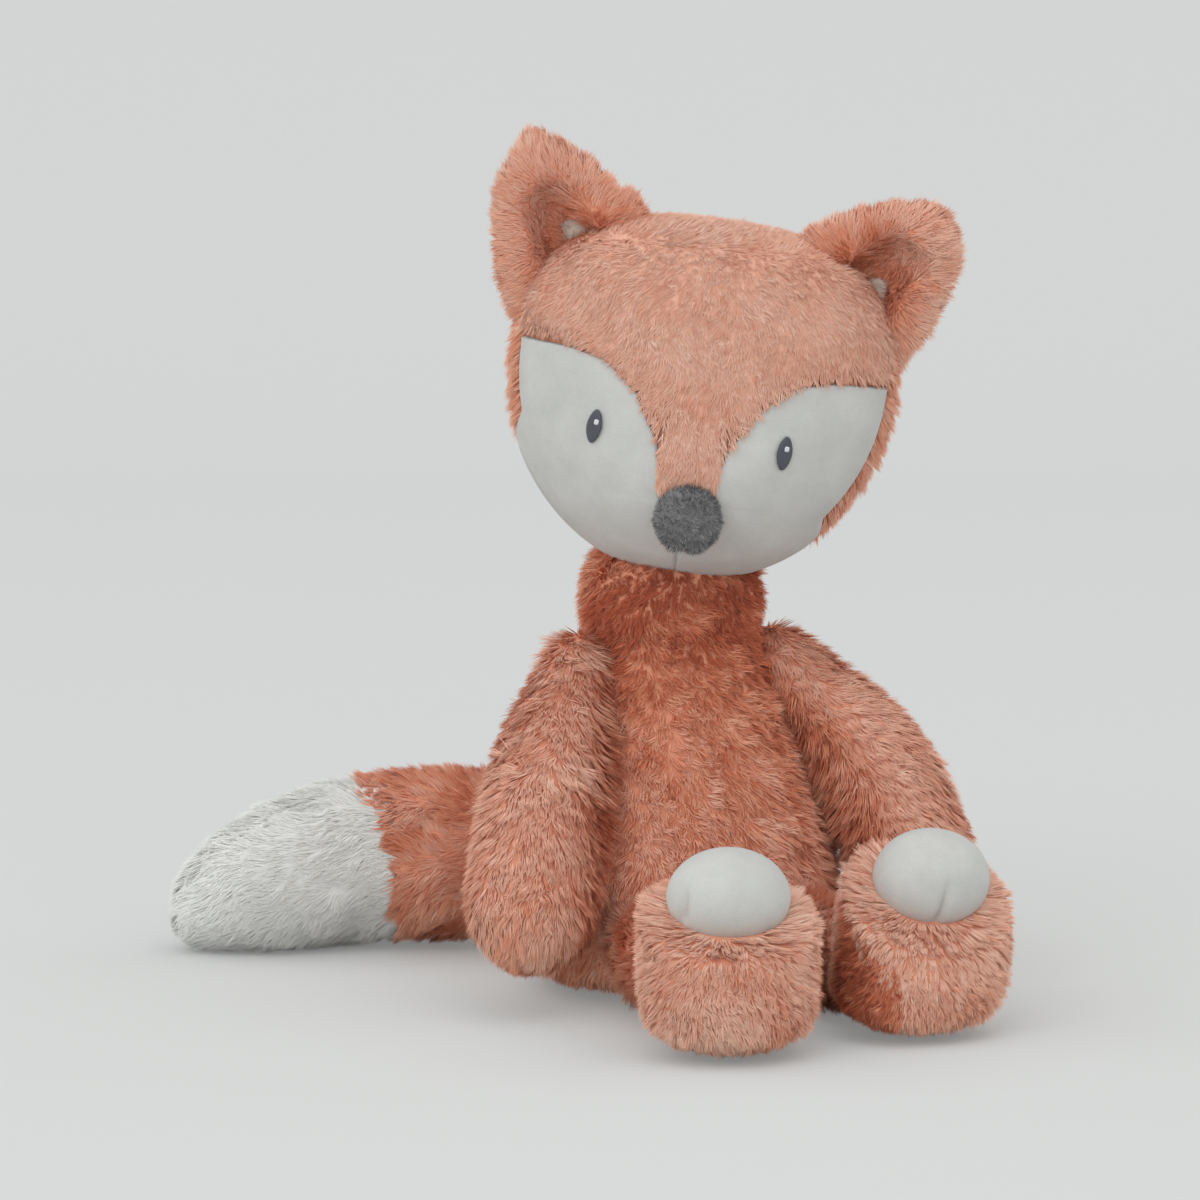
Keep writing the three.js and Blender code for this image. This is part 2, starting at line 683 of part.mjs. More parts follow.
function makeEye(sign) {
  const outline = [];
  for (let i = 0; i < AROUND; i += 1) {
    const angle = (2 * Math.PI * i) / AROUND;
    const point = new THREE.Vector2(EYE_HALF_WIDTH * Math.cos(angle), EYE_HALF_HEIGHT * Math.sin(angle));
    point.rotateAround(new THREE.Vector2(), rad(EYE_SLANT * sign));
    outline.push(point.add(new THREE.Vector2(EYE_ASIDE + (sign * EYE_SPACING) / 2, -EYE_DROP)));
  }
  const pad = headForm(GAP + EYE_THREAD).subtract(headForm(GAP));
  return pad.intersect(facePrism(outline));
}

// An ear: rings between its inner and outer edge, pushed in at the front
function earForm(sign, hollow, grow) {
  const edge = (row) => new THREE.CatmullRomCurve3(row.map(([x, z]) => new Vector3(x, EAR_BACK, z)));
  const inner = edge(sign > 0 ? EAR_LEFT_INNER : EAR_RIGHT_INNER);
  const outer = edge(sign > 0 ? EAR_LEFT_OUTER : EAR_RIGHT_OUTER);
  const middle = (share) => inner.getPoint(share).lerp(outer.getPoint(share), 1 / 2);
  const rings = [];
  for (let i = 1; i < STEPS; i += 1) {
    const share = (1 - Math.cos((Math.PI * i) / STEPS)) / 2;
    const across = outer.getPoint(share).sub(inner.getPoint(share));
    const round = endRound(share, EAR_TIP_SHARE) * endRound(1 - share, EAR_TIP_SHARE);
    const wide = (across.length() / 2 + grow) * round;
    const thick = (EAR_HALF_THICKNESS + grow) * round;
    const side = across.normalize();
    const centre = middle(share);
    const points = ring(centre, side, backward, wide, thick, EAR_FULLNESS, AROUND);
    const fade = Math.max(0, 1 - (share / EAR_HOLLOW_SHARE) ** 4);
    for (const point of points) {
      const out = point.clone().sub(centre).dot(side) / wide / EAR_HOLLOW_WIDTH_SHARE;
      if (point.y < centre.y && Math.abs(out) < 1) {
        const front = (centre.y - point.y) / thick;
        point.y += hollow * (1 - out * out) ** 2 * fade * front;
      }
    }
    rings.push(points);
  }
  return loft(rings, middle(0), middle(1));
}

function makeEar(sign, headClear) {
  const shallow = earForm(sign, EAR_LINING_SET, 0).subtract(earForm(sign, EAR_HOLLOW, GAP));
  return {
    cover: onSide(earForm(sign, EAR_HOLLOW, 0), sign).subtract(headClear),
    lining: onSide(shallow, sign).subtract(headClear),
  };
}

function makeHead(neckClear) {
  const seatAt = new Vector3(0, HEAD_FORWARD, -HEAD_RISE);
  const seat = neckClear.translate(seatAt.toArray());
  const headClear = headForm(GAP);
  const skin = subtract(headForm(0), headForm(-FACE_SKIN), seat);
  const seam = new Vector3(0, -FACE_SEAM, 0);
  const face = beyond(skin, seam.clone().addScaledVector(backward, -GAP), backward.clone().negate());
  const cheeks = face.subtract(facePrism(browOutline(GAP)));
  const half = new Vector3(GAP / 2, 0, 0);
  return {
    back: beyond(skin, seam, backward),
    brow: face.intersect(facePrism(browOutline(0))),
    cheekLeft: beyond(cheeks, half, sideways),
    cheekRight: beyond(cheeks, half.clone().negate(), sideways.clone().negate()),
    filling: headForm(-FACE_SKIN - GAP).subtract(seat),
    nose: makeNose(headClear),
    eyes: { left: makeEye(1), right: makeEye(-1) },
    ears: { left: makeEar(1, headClear), right: makeEar(-1, headClear) },
  };
}

// Assembly
function piece(name, solid, material) {
  const mesh = new THREE.Mesh(toGeometry(solid), material);
  mesh.name = name;
  return mesh;
}

const fox = new THREE.Group();

const body = makeBody();
fox.add(piece('body_cover', body.cover, furFabric()));
fox.add(piece('body_fill', body.filling, stuffing()));

for (const [side, sign] of [['left', 1], ['right', -1]]) {
  const arm = makeArm(sign);
  fox.add(piece(`arm_${side}_cover`, arm.cover, furFabric()));
  fox.add(piece(`arm_${side}_fill`, arm.filling, stuffing()));
  const leg = makeLeg(sign);
  fox.add(piece(`leg_${side}_cover`, leg.leg, furFabric()));
  fox.add(piece(`foot_${side}_cover`, leg.foot, furFabric()));
  fox.add(piece(`toe_cap_${side}`, leg.toeCap, velboa()));
  fox.add(piece(`leg_${side}_fill`, leg.filling, stuffing()));
}

const tail = makeTail();
fox.add(piece('tail_base_cover', tail.base, furFabric()));
fox.add(piece('tail_tip_cover', tail.tip, whiteFur()));
fox.add(piece('tail_fill', tail.filling, stuffing()));

// The neck turns about the ball's upright axis, and the head leans about its facing axis
const neckGroup = new THREE.Group();
neckGroup.position.copy(neckPivot);
neckGroup.rotation.z = rad(HEAD_TURN);
fox.add(neckGroup);
const neck = makeNeck();
neckGroup.add(piece('neck_cover', neck.cover, furFabric()));
neckGroup.add(piece('neck_fill', neck.filling, stuffing()));

const leanGroup = new THREE.Group();
leanGroup.rotation.y = rad(-HEAD_LEAN);
neckGroup.add(leanGroup);
const headGroup = new THREE.Group();
headGroup.position.set(0, -HEAD_FORWARD, HEAD_RISE);
leanGroup.add(headGroup);
const head = makeHead(neck.clear);
headGroup.add(piece('head_back_cover', head.back, furFabric()));
headGroup.add(piece('brow_cover', head.brow, furFabric()));
headGroup.add(piece('cheek_left', head.cheekLeft, velboa()));
headGroup.add(piece('cheek_right', head.cheekRight, velboa()));
headGroup.add(piece('head_fill', head.filling, stuffing()));
headGroup.add(piece('nose', head.nose, noseFelt()));
for (const side of ['left', 'right']) {
  headGroup.add(piece(`eye_${side}`, head.eyes[side], satinThread()));
  headGroup.add(piece(`ear_${side}_cover`, head.ears[side].cover, furFabric()));
  headGroup.add(piece(`ear_${side}_lining`, head.ears[side].lining, velboa()));
}

export default fox;
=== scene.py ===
"""Plush fox: long pile, velboa and stitching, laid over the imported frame. Metres, the frame's own axes."""

import math

import bpy
import numpy as np
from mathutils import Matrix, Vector


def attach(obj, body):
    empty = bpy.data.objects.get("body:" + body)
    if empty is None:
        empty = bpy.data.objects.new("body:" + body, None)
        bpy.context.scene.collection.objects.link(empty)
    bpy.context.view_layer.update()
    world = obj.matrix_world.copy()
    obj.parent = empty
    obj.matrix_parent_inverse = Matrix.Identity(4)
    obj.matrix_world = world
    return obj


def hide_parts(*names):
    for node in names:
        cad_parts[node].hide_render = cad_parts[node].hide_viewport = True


bl_info = {
    "name": "Plush fox",
    "version": (1, 0, 0),
    "blender": (4, 5, 0),
    "location": "3D View > Sidebar > Plush fox",
    "description": "Fur, face, toe pads and tail of a sitting plush fox",
    "category": "Add Mesh",
}

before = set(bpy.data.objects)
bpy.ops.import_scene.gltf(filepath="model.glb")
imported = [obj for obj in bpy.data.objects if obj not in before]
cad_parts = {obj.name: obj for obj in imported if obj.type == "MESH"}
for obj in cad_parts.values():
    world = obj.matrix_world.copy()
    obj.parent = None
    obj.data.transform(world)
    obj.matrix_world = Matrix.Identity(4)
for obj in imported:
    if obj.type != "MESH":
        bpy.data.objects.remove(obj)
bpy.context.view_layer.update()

MM = 0.001
SIDES = (("left", 1.0), ("right", -1.0))

# Forms, in millimetres, as the solids have them
BODY_HALF_WIDTH, BODY_HALF_DEPTH, BODY_HEIGHT, BODY_WAIST = 59.0, 51.0, 125.0, 30.0
BODY_FULLNESS, BASE_FULLNESS, NECK_BACK, NECK_SEAM_RADIUS = 2.1, 5.0, 9.0, 29.5
PEAR = ((0, 1), (0.18, 0.95), (0.38, 0.7), (0.59, 0.42), (0.78, 0.17), (0.93, 0.02), (1, 0), (1.3, 0))
NECK_BALL_RADIUS, NECK_BALL_RISE = 31.0, 8.0
HEAD_HALF_WIDTH, HEAD_FRONT, HEAD_BACK = 69.0, 49.0, 51.0
HEAD_CROWN, HEAD_CHIN, HEAD_WIDEST = 60.5, 65.0, 8.0
CROWN_FULLNESS, CHIN_FULLNESS, HEAD_FULLNESS = 2.5, 2.0, 2.2
HEAD_RISE, HEAD_FORWARD, HEAD_TURN, HEAD_LEAN, FACE_SEAM = 73.5, 6.0, -22.0, -8.0, 17.0
MUZZLE_LENGTH, MUZZLE_SPREAD, MUZZLE_DROP = 12.0, 24.0, 38.0
BROW_EDGE = ((1.3, 0.21), (0.94, 0.2), (0.72, 0.2), (0.5, 0.145), (0.34, 0), (0.22, -0.23), (0.165, -0.42),
             (0.15, -0.58))
NOSE_SIZE, NOSE_DROP, NOSE_ASIDE, NOSE_PROUD = (12.0, 10.0, 12.5), 39.5, 2.0, 3.0
EYE_SPACING, EYE_ASIDE, EYE_DROP, EYE_HALF, EYE_SLANT = 64.5, -1.3, 13.4, (2.6, 5.8), 1.0
EYE_LEAN = 3.0
EAR_EDGES = {
    "left": (((16, 44), (26, 60), (37, 67.5), (49, 73), (62, 77)),
             ((56, 6), (70, 20), (78, 38), (83, 56), (81, 73))),
    "right": (((16, 45), (26, 62), (37, 68.5), (48, 76), (60, 85)),
              ((56, 4), (70, 18), (77, 36), (81, 57), (78, 80))),
}
EAR_LINING = {"left": ((55.0, -7.4, 41.5), (3.6, 2.5, 6.3)), "right": ((49.5, -7.4, 50.5), (5.4, 2.5, 4.0))}
EAR_HALF_THICKNESS, EAR_BACK, EAR_FULLNESS, EAR_LENGTH = 11.0, -8.0, 2.3, 80.0
SHOULDER, ARM_ROOT = (33, 4, 116), (25, 6, 121)
ELBOW = {"left": (66, -18, 74), "right": (56, -22, 74)}
PAW = {"left": (77, -36, 32), "right": (69, -40, 33)}
PAW_ROUND, ARM_HALF_WIDTH, ARM_HALF_DEPTH = 20.0, 25.5, 21.0
ARM_FULL = ((0, 0.56), (0.16, 0.66), (0.4, 0.88), (0.65, 1), (0.85, 1), (1, 0.98))
HIP, LEG_RADIUS, ANKLE_OVERLAP = (25, -47, 21), 20.5, 22.0
FOOT = {"left": (40, -108, 0), "right": (29, -119, 0)}
FOOT_HALF_WIDTH, FOOT_HALF_LENGTH, FOOT_HEIGHT = 31.5, 28.5, 51.5
FOOT_BASE, FOOT_BELLY, FOOT_RIM, FOOT_SOLE, FOOT_FULLNESS = 0.82, 0.5, 9.0, 14.0, 2.2
TOE_TILT = {"left": 44.0, "right": 26.0}
FOOT_TURN = {"left": 4.0, "right": 12.0}
FOOT_SPLAY = {"left": 7.0, "right": 0.0}
TOE_CAP = (20.5, 17.5, 16.0)
TOE_DART = {"left": ((-4.0, -17.0), (-1.0, -8.0)), "right": ((16.6, -11.0), (15.4, -4.0))}
TOE_DART_DEPTH, TOE_DART_WIDTH = 2.0, 1.3
TOE_SEAM_X = 28.0
TAIL_PATH = ((0, 50, 29), (-36, 86, 33.5), (-84, 106, 32), (-125, 112, 21), (-152, 116, 6))
TAIL_ROOT_RADIUS, TAIL_RADIUS, TAIL_TIP_ROUND, TAIL_SEAM = 20.0, 33.5, 65.0, 0.56
TAIL_FULL = ((0, 0.6), (0.13, 0.6), (0.2, 0.63), (0.3, 0.81), (0.42, 0.99), (0.6, 0.98), (0.8, 0.95),
             (1, 0.93))

# How skins and fibres lie on the forms, in millimetres
FLOOR_REST = 0.4
FIBRE_REST = 0.3
NECK_UNDER = 0.8
HEAD_SKIN = -4.2
BROW_PILE, BROW_BACKING = -1.3, -4.6
CHEEK_FRONT, CHEEK_BACK, CHEEK_RIM = -0.7, -4.2, 2.2
NECK_DOME = 6.0
LOOSE = {"wander": 0.55, "lock": 2.8, "pull": 0.42, "spread": 0.24}
SPIKE_FACES = np.array([(1, 2, 0), (3, 1, 0), (3, 2, 1), (3, 0, 2)])
BACKDROP = "#d5d7d6"

# The camera at the photograph's angle: millimetres of lens, degrees round and up, metres away
LENS, CAMERA_ROUND, CAMERA_UP, CAMERA_AWAY = 130.0, 20, 6, 1.5
CAMERA_AIM = (-0.0260, 0.0095, 0.1343)
LAMPS = (("soft_left", (-1.6, -1.4, 1.1), 1.6, 11.0), ("soft_top", (0.0, -1.0, 2.0), 1.8, 4.0))
LAMP_AIM = (0, 0, 0.12)


# Numbers along rows and curves

def smooth_row(rows, places):
    """Values at places: a cubic through rows of (place, value), with the mean slope at each row."""
    rows = np.asarray(rows, float)
    x, y = rows[:, 0], rows[:, 1:]
    slope = np.gradient(y, x, axis=0)
    t = np.clip(np.asarray(places, float), x[0], x[-1])
    i = np.clip(np.searchsorted(x, t, side="right") - 1, 0, len(x) - 2)
    h = (x[i + 1] - x[i])[..., None]
    s = ((t - x[i]) / (x[i + 1] - x[i]))[..., None]
    value = (y[i] * (1 + 2 * s) * (1 - s) ** 2 + y[i + 1] * s * s * (3 - 2 * s)
             + slope[i] * h * s * (1 - s) ** 2 - slope[i + 1] * h * s * s * (1 - s))
    return value[..., 0] if value.shape[-1] == 1 else value


def curve_through(points, count=200):
    """A smooth curve through points, as even steps of arc length: (places, tangents, length)."""
    points = np.asarray(points, float)
    gaps = np.sqrt(np.linalg.norm(np.diff(points, axis=0), axis=1))
    knots = np.concatenate([[0], np.cumsum(gaps)])
    fine = smooth_row(np.column_stack([knots, points]), np.linspace(0, knots[-1], 20 * count))
    run = np.concatenate([[0], np.cumsum(np.linalg.norm(np.diff(fine, axis=0), axis=1))])
    even = np.linspace(0, run[-1], count)
    places = np.column_stack([np.interp(even, run, fine[:, k]) for k in range(3)])
    tangents = np.gradient(places, axis=0)
    return places, unit(tangents), run[-1]


def unit(vectors):
    """Vectors at length one."""
    return vectors / np.maximum(np.linalg.norm(vectors, axis=-1, keepdims=True), 1e-9)


def bulge(cosine, fullness):
    """Signed power of a cosine or sine: 2 gives a circle, more a squarer ring."""
    return np.sign(cosine) * np.abs(cosine) ** (2 / fullness)


def ease(value, low, high):
    """A smooth step from 0 at low to 1 at high."""
    t = np.clip((value - low) / (high - low), 0, 1)
    return t * t * (3 - 2 * t)


def end_round(distance, length):
    """How full a form is at a distance from its round end: root of 1 - (1 - d / length) squared."""
    left = np.clip(1 - np.asarray(distance, float) / length, 0, 1)
    return np.sqrt(np.clip(1 - left * left, 0, 1))


def drift(points, size, rng, waves=5):
    """A smooth wandering vector at each point: a sum of sine waves about size millimetres long."""
    total = np.zeros_like(points)
    for _ in range(waves):
        way = unit(rng.normal(size=3)) * (2 * np.pi / size) * rng.uniform(0.6, 1.5)
        total += np.sin(points @ way + rng.uniform(0, 6.28))[:, None] * rng.normal(size=3)
    return total / math.sqrt(waves)


# Forms: each is a grid of rows from one pole to the other, in millimetres

def rings_form(centres, sides, fronts, wide, deep, fullness, around):
    """Rows of rings: centre + side * wide * C(angle) + front * deep * S(angle), where C and S are the powers
    of cosine and sine that make a superellipse."""
    angle = np.arange(around) * 2 * np.pi / around
    fullness = np.broadcast_to(np.asarray(fullness, float), (len(centres),))[:, None]
    across, out = bulge(np.cos(angle)[None], fullness), bulge(np.sin(angle)[None], fullness)
    return (centres[:, None] + sides[:, None] * (np.asarray(wide)[:, None] * across)[..., None]
            + fronts[:, None] * (np.asarray(deep)[:, None] * out)[..., None])


def level_rings(centres, wide, deep, fullness, around):
    """Rings that lie level, wide along x and deep along y."""
    ones = np.ones((len(centres), 1))
    return rings_form(centres, ones * [1, 0, 0], ones * [0, 1, 0], wide, deep, fullness, around)


def body_form(grow, neck, around=128):
    """The pear: a square-shouldered base up to the waist, then bulge(height) between neck and waist.
    Near the neck it is fuller by a given amount."""
    share = np.sin(np.linspace(1, 0, 22) * np.pi / 2)
    base = (1 - np.clip(share, 0, 1) ** BASE_FULLNESS) ** (1 / BASE_FULLNESS)
    depth = BODY_WAIST + grow
    z = BODY_WAIST - depth * share
    up = np.linspace(0, 1, 36)[1:]
    z = np.concatenate([z, BODY_WAIST + (BODY_HEIGHT - BODY_WAIST) * up])
    bulged = np.concatenate([np.ones(len(share)), smooth_row(PEAR, up)])
    full = np.concatenate([base, np.ones(len(up))])
    dome = np.linspace(0, 1, 9)[1:]
    z = np.concatenate([z, BODY_HEIGHT + NECK_DOME * np.sin(dome * np.pi / 2)])
    bulged, full = np.concatenate([bulged, np.zeros(8)]), np.concatenate([full, np.cos(dome * np.pi / 2)])
    lean = np.clip((z - BODY_WAIST) / (BODY_HEIGHT - BODY_WAIST), 0, 1)
    centres = np.column_stack([0 * z, NECK_BACK * lean, z])
    grow = grow + neck * ease(z, 35, 95)
    wide = (NECK_SEAM_RADIUS + (BODY_HALF_WIDTH - NECK_SEAM_RADIUS) * bulged + grow) * full
    deep = (NECK_SEAM_RADIUS + (BODY_HALF_DEPTH - NECK_SEAM_RADIUS) * bulged + grow) * full
    return level_rings(centres, wide, deep, 2 + (BODY_FULLNESS - 2) * bulged, around)


def ball_form(half, around=64, rows=33):
    """An ellipsoid from three half sizes, rows from its lower to its upper pole."""
    polar = np.linspace(-np.pi / 2, np.pi / 2, rows)
    centres = np.column_stack([0 * polar, 0 * polar, half[2] * np.sin(polar)])
    return level_rings(centres, half[0] * np.cos(polar), half[1] * np.cos(polar), 2, around)


def tube_form(path, side_hint, size, start_round, tip_round, grow, around=64, rows=64):
    """A stuffed tube: rings square to a curve, of size(share along), rounded over at both ends."""
    places, tangents, length = curve_through(path)
    total = length + 2 * grow
    along = total * (1 - np.cos(np.linspace(0, np.pi, rows))) / 2
    share = np.clip((along - grow) / length, 0, 1)
    grid = np.linspace(0, 1, len(places))
    centre = np.column_stack([np.interp(share, grid, places[:, k]) for k in range(3)])
    tangent = unit(np.column_stack([np.interp(share, grid, tangents[:, k]) for k in range(3)]))
    centre = centre + tangent * ((along - grow) - share * length)[:, None]
    front = unit(np.cross(tangent, np.asarray(side_hint, float)))
    side = unit(np.cross(front, tangent))
    full = end_round(along, start_round + grow) * end_round(total - along, tip_round + grow)
    wide, deep = size(share)
    return rings_form(centre, side, front, (wide + grow) * full, (deep + grow) * full, 2, around)


def swollen(x, y, z, shallow):
    """Depths y made shallower in front, with the muzzle's swelling added there."""
    forward = np.clip(-y / MUZZLE_SPREAD, 0, 1)
    away = (x ** 2 + (z + MUZZLE_DROP) ** 2) / (2 * MUZZLE_SPREAD ** 2)
    return np.where(y < 0, shallow - MUZZLE_LENGTH * forward * np.exp(-away), y)


def head_form(grow, around=160, rows=97):
    """The head about its own centre: superellipse rows, a shallow front and a muzzle that swells forward."""
    polar = np.linspace(np.pi, 0, rows)
    crown = polar < np.pi / 2
    fullness = np.where(crown, CROWN_FULLNESS, CHIN_FULLNESS)
    height = np.where(crown, HEAD_CROWN - HEAD_WIDEST + grow, -HEAD_CHIN - HEAD_WIDEST - grow)
    z = HEAD_WIDEST + height * np.abs(np.cos(polar)) ** (2 / fullness)
    full = np.clip(np.sin(polar), 0, 1) ** (2 / fullness)
    form = level_rings(np.column_stack([0 * z, 0 * z, z]), (HEAD_HALF_WIDTH + grow) * full,
                       (HEAD_BACK + grow) * full, HEAD_FULLNESS, around)
    x, y, z = form[..., 0], form[..., 1], form[..., 2]
    form[..., 1] = swollen(x, y, z, y * (HEAD_FRONT + grow) / (HEAD_BACK + grow))
    return form


def foot_spin(side):
    """The turn of a foot about the upright axis, laid out on the left."""
    turn = math.radians(FOOT_TURN[side])
    return np.array([[math.cos(turn), -math.sin(turn), 0], [math.sin(turn), math.cos(turn), 0], [0, 0, 1]])


def foot_form(side, grow, around=72, rows=64):
    """The drum of a foot, laid out on the left: rings that lean more and more towards the toe face."""
    total = FOOT_HEIGHT + 2 * grow
    up = total * (1 - np.cos(np.linspace(0, np.pi, rows))) / 2
    share = np.clip((up - grow) / FOOT_HEIGHT, 0, 1)
    lean, spin = np.radians(TOE_TILT[side]) * share, foot_spin(side)
    centre = np.column_stack([FOOT_SPLAY[side] * share, 0 * up, up - grow]) + np.asarray(FOOT[side], float)
    front = np.column_stack([0 * up, -np.cos(lean), -np.sin(lean)]) @ spin.T
    across = np.ones((rows, 1)) * (spin @ [1, 0, 0])
    belly = FOOT_BASE + (1 - FOOT_BASE) * np.sin(np.pi / 2 * np.clip(share / FOOT_BELLY, 0, 1))
    full = end_round(up, FOOT_SOLE + grow) * end_round(total - up, FOOT_RIM + grow)
    return rings_form(centre, across, front, (FOOT_HALF_WIDTH * belly + grow) * full,
                      (FOOT_HALF_LENGTH * belly + grow) * full, FOOT_FULLNESS, around)


def toe_face(side):
    """The toe face, laid out on the left: its axes as columns (across, along, outwards) and its middle."""
    tilt = math.radians(TOE_TILT[side])
    lean = np.array([[1, 0, 0], [0, math.cos(tilt), -math.sin(tilt)], [0, math.sin(tilt), math.cos(tilt)]])
    return foot_spin(side) @ lean, np.array([FOOT[side][0] + FOOT_SPLAY[side], FOOT[side][1], FOOT_HEIGHT])


def toe_cap_form(side, grow):
    """The domed pad in the toe face, laid out on the left: an ellipsoid with a dart in its lower edge."""
    form = ball_form([size + grow for size in TOE_CAP], 96, 61)
    a, b = (np.array(end) for end in TOE_DART[side])
    way = unit(b - a)
    flat = form[..., :2] - a
    along = np.clip(flat @ way, -3, np.linalg.norm(b - a))
    off = np.linalg.norm(flat - along[..., None] * way, axis=-1)
    fade = 1 - ease(along, 0, np.linalg.norm(b - a))
    depth = TOE_DART_DEPTH * np.exp(-(off / TOE_DART_WIDTH) ** 2) * fade
    depth = depth * ease(form[..., 2], -6, 0)
    form = form * (1 - depth / TOE_CAP[2])[..., None]
    axes, middle = toe_face(side)
    return form @ axes.T + middle


def ear_form(side, grow, hollow, around=72, rows=56):
    """An ear laid out on the left: rings between its two edges, with a valley pressed into the front."""
    inner, outer = (np.array(edge, float) for edge in EAR_EDGES[side])
    knots = np.linspace(0, 1, len(inner))
    share = (1 - np.cos(np.linspace(0, np.pi, rows))) / 2
    reach = 1 + grow / EAR_LENGTH
    a, b = (smooth_row(np.column_stack([knots, edge]), share * reach) for edge in (inner, outer))
    middle, across = (a + b) / 2, b - a
    width = np.linalg.norm(across, axis=1)
    side_way = np.column_stack([across[:, 0], 0 * width, across[:, 1]]) / width[:, None]
    full = end_round(share, 0.3) * end_round(1 - share, 0.24)
    centres = np.column_stack([middle[:, 0], 0 * width + EAR_BACK, middle[:, 1]])
    wide, thick = (width / 2 + grow) * full, (EAR_HALF_THICKNESS + grow) * full
    form = rings_form(centres, side_way, np.ones((rows, 1)) * [0, 1, 0], wide, thick, EAR_FULLNESS, around)
    offset = form - centres[:, None]
    out = offset[..., 0] * side_way[:, None, 0] + offset[..., 2] * side_way[:, None, 2]
    out = out / np.maximum(wide, 1e-6)[:, None]
    valley = np.clip(1 - (out / 0.5) ** 2, 0, 1) ** 1.3
    fade = np.clip(1 - (share / 0.74) ** 4, 0, 1)[:, None]
    front = np.clip((centres[:, None, 1] - form[..., 1]) / np.maximum(thick, 1e-6)[:, None], 0, 1)
    form[..., 1] += hollow * valley * fade * front
    return form


def mirrored(form, sign):
    """A form laid out on the left, or its mirror image, with its rings still turning outwards."""
    return form if sign > 0 else form[:, ::-1] * np.array([-1, 1, 1])


def turned(points, axis, degrees, pivot):
    """Points turned about an axis through a pivot."""
    a = math.radians(degrees)
    k = np.asarray(axis, float)
    cross = np.array([[0, -k[2], k[1]], [k[2], 0, -k[0]], [-k[1], k[0], 0]])
    spin = np.eye(3) + math.sin(a) * cross + (1 - math.cos(a)) * cross @ cross
    return (points - pivot) @ spin.T + pivot


NECK_PIVOT = np.array([0, NECK_BACK, BODY_HEIGHT + NECK_BALL_RISE])


def on_head(points):
    """From the head's own axes to the sitting toy: up and forward, then the lean, then the turn."""
    there = points + [0, -HEAD_FORWARD, HEAD_RISE] + NECK_PIVOT
    return turned(turned(there, (0, 1, 0), -HEAD_LEAN, NECK_PIVOT), (0, 0, 1), HEAD_TURN, NECK_PIVOT)


# Roots of the pile on a form

def normals_of(form):
    """Outward normals of a grid: the cross product of the steps around and along, mended at the poles."""
    around = np.roll(form, -1, 1) - np.roll(form, 1, 1)
    along = np.gradient(form, axis=0)
    normal = np.cross(around, along)
    for row, near in ((0, 1), (-1, -2)):
        normal[row] = normal[near].mean(0)
    normal = unit(normal)
    outward = np.sum(normal * (form - form.mean((0, 1)))) > 0
    return normal if outward else -normal


def roots_on(form, count, rng, keep=None):
    """Count places spread evenly by area over a grid: points, normals and the way along the rows."""
    normal = normals_of(form)
    wrapped = np.concatenate([form, form[:, :1]], 1)
    wrapped_normal = np.concatenate([normal, normal[:, :1]], 1)
    a, b = wrapped[:-1, 1:] - wrapped[:-1, :-1], wrapped[1:, :-1] - wrapped[:-1, :-1]
    c, d = wrapped[1:, 1:] - wrapped[1:, :-1], wrapped[1:, 1:] - wrapped[:-1, 1:]
    area = (np.linalg.norm(np.cross(a, b), axis=-1) + np.linalg.norm(np.cross(c, d), axis=-1)) / 2
    if keep is not None:
        middle = (wrapped[:-1, :-1] + wrapped[1:, 1:]) / 2
        area = area * keep(middle.reshape(-1, 3)).reshape(area.shape)
    share = np.cumsum(area.ravel()) / area.sum()
    cell = np.searchsorted(share, rng.random(count))
    row, column = np.unravel_index(np.clip(cell, 0, area.size - 1), area.shape)
    u, v = rng.random((2, count, 1))
    mix = lambda grid: (grid[row, column] * (1 - u) * (1 - v) + grid[row, column + 1] * u * (1 - v)
                        + grid[row + 1, column] * (1 - u) * v + grid[row + 1, column + 1] * u * v)
    along = b[row, column] * (1 - u) + d[row, column] * u
    root = mix(wrapped)
    held = slice(None) if keep is None else keep(root)
    return root[held], unit(mix(wrapped_normal))[held], unit(along)[held], area.sum()


def locks(points, size, rng):
    """The lock of each root: the nearest of many centres, one in each cube of a grid of that size."""
    cell = np.floor(points / size).astype(np.int64)
    best, owner = np.full(len(points), np.inf), np.zeros(len(points), np.int64)
    salt = rng.integers(1, 2 ** 31, 3)
    for dx in (-1, 0, 1):
        for dy in (-1, 0, 1):
            for dz in (-1, 0, 1):
                near = cell + [dx, dy, dz]
                key = (near * [73856093, 19349663, 83492791]).sum(1)
                # a scattered place in the cube, which is the same each time the cube is met
                mixed = [np.sin((key % 100003) * (k + 1) * 12.9898 + salt[k] % 97) for k in range(3)]
                jitter = np.modf(np.stack(mixed, 1) * 43758.5)[0]
                gap = np.linalg.norm((near + 0.5 + 0.45 * jitter) * size - points, axis=1)
                nearer = gap < best
                best[nearer], owner[nearer] = gap[nearer], key[nearer]
    return np.unique(owner, return_inverse=True)[1]


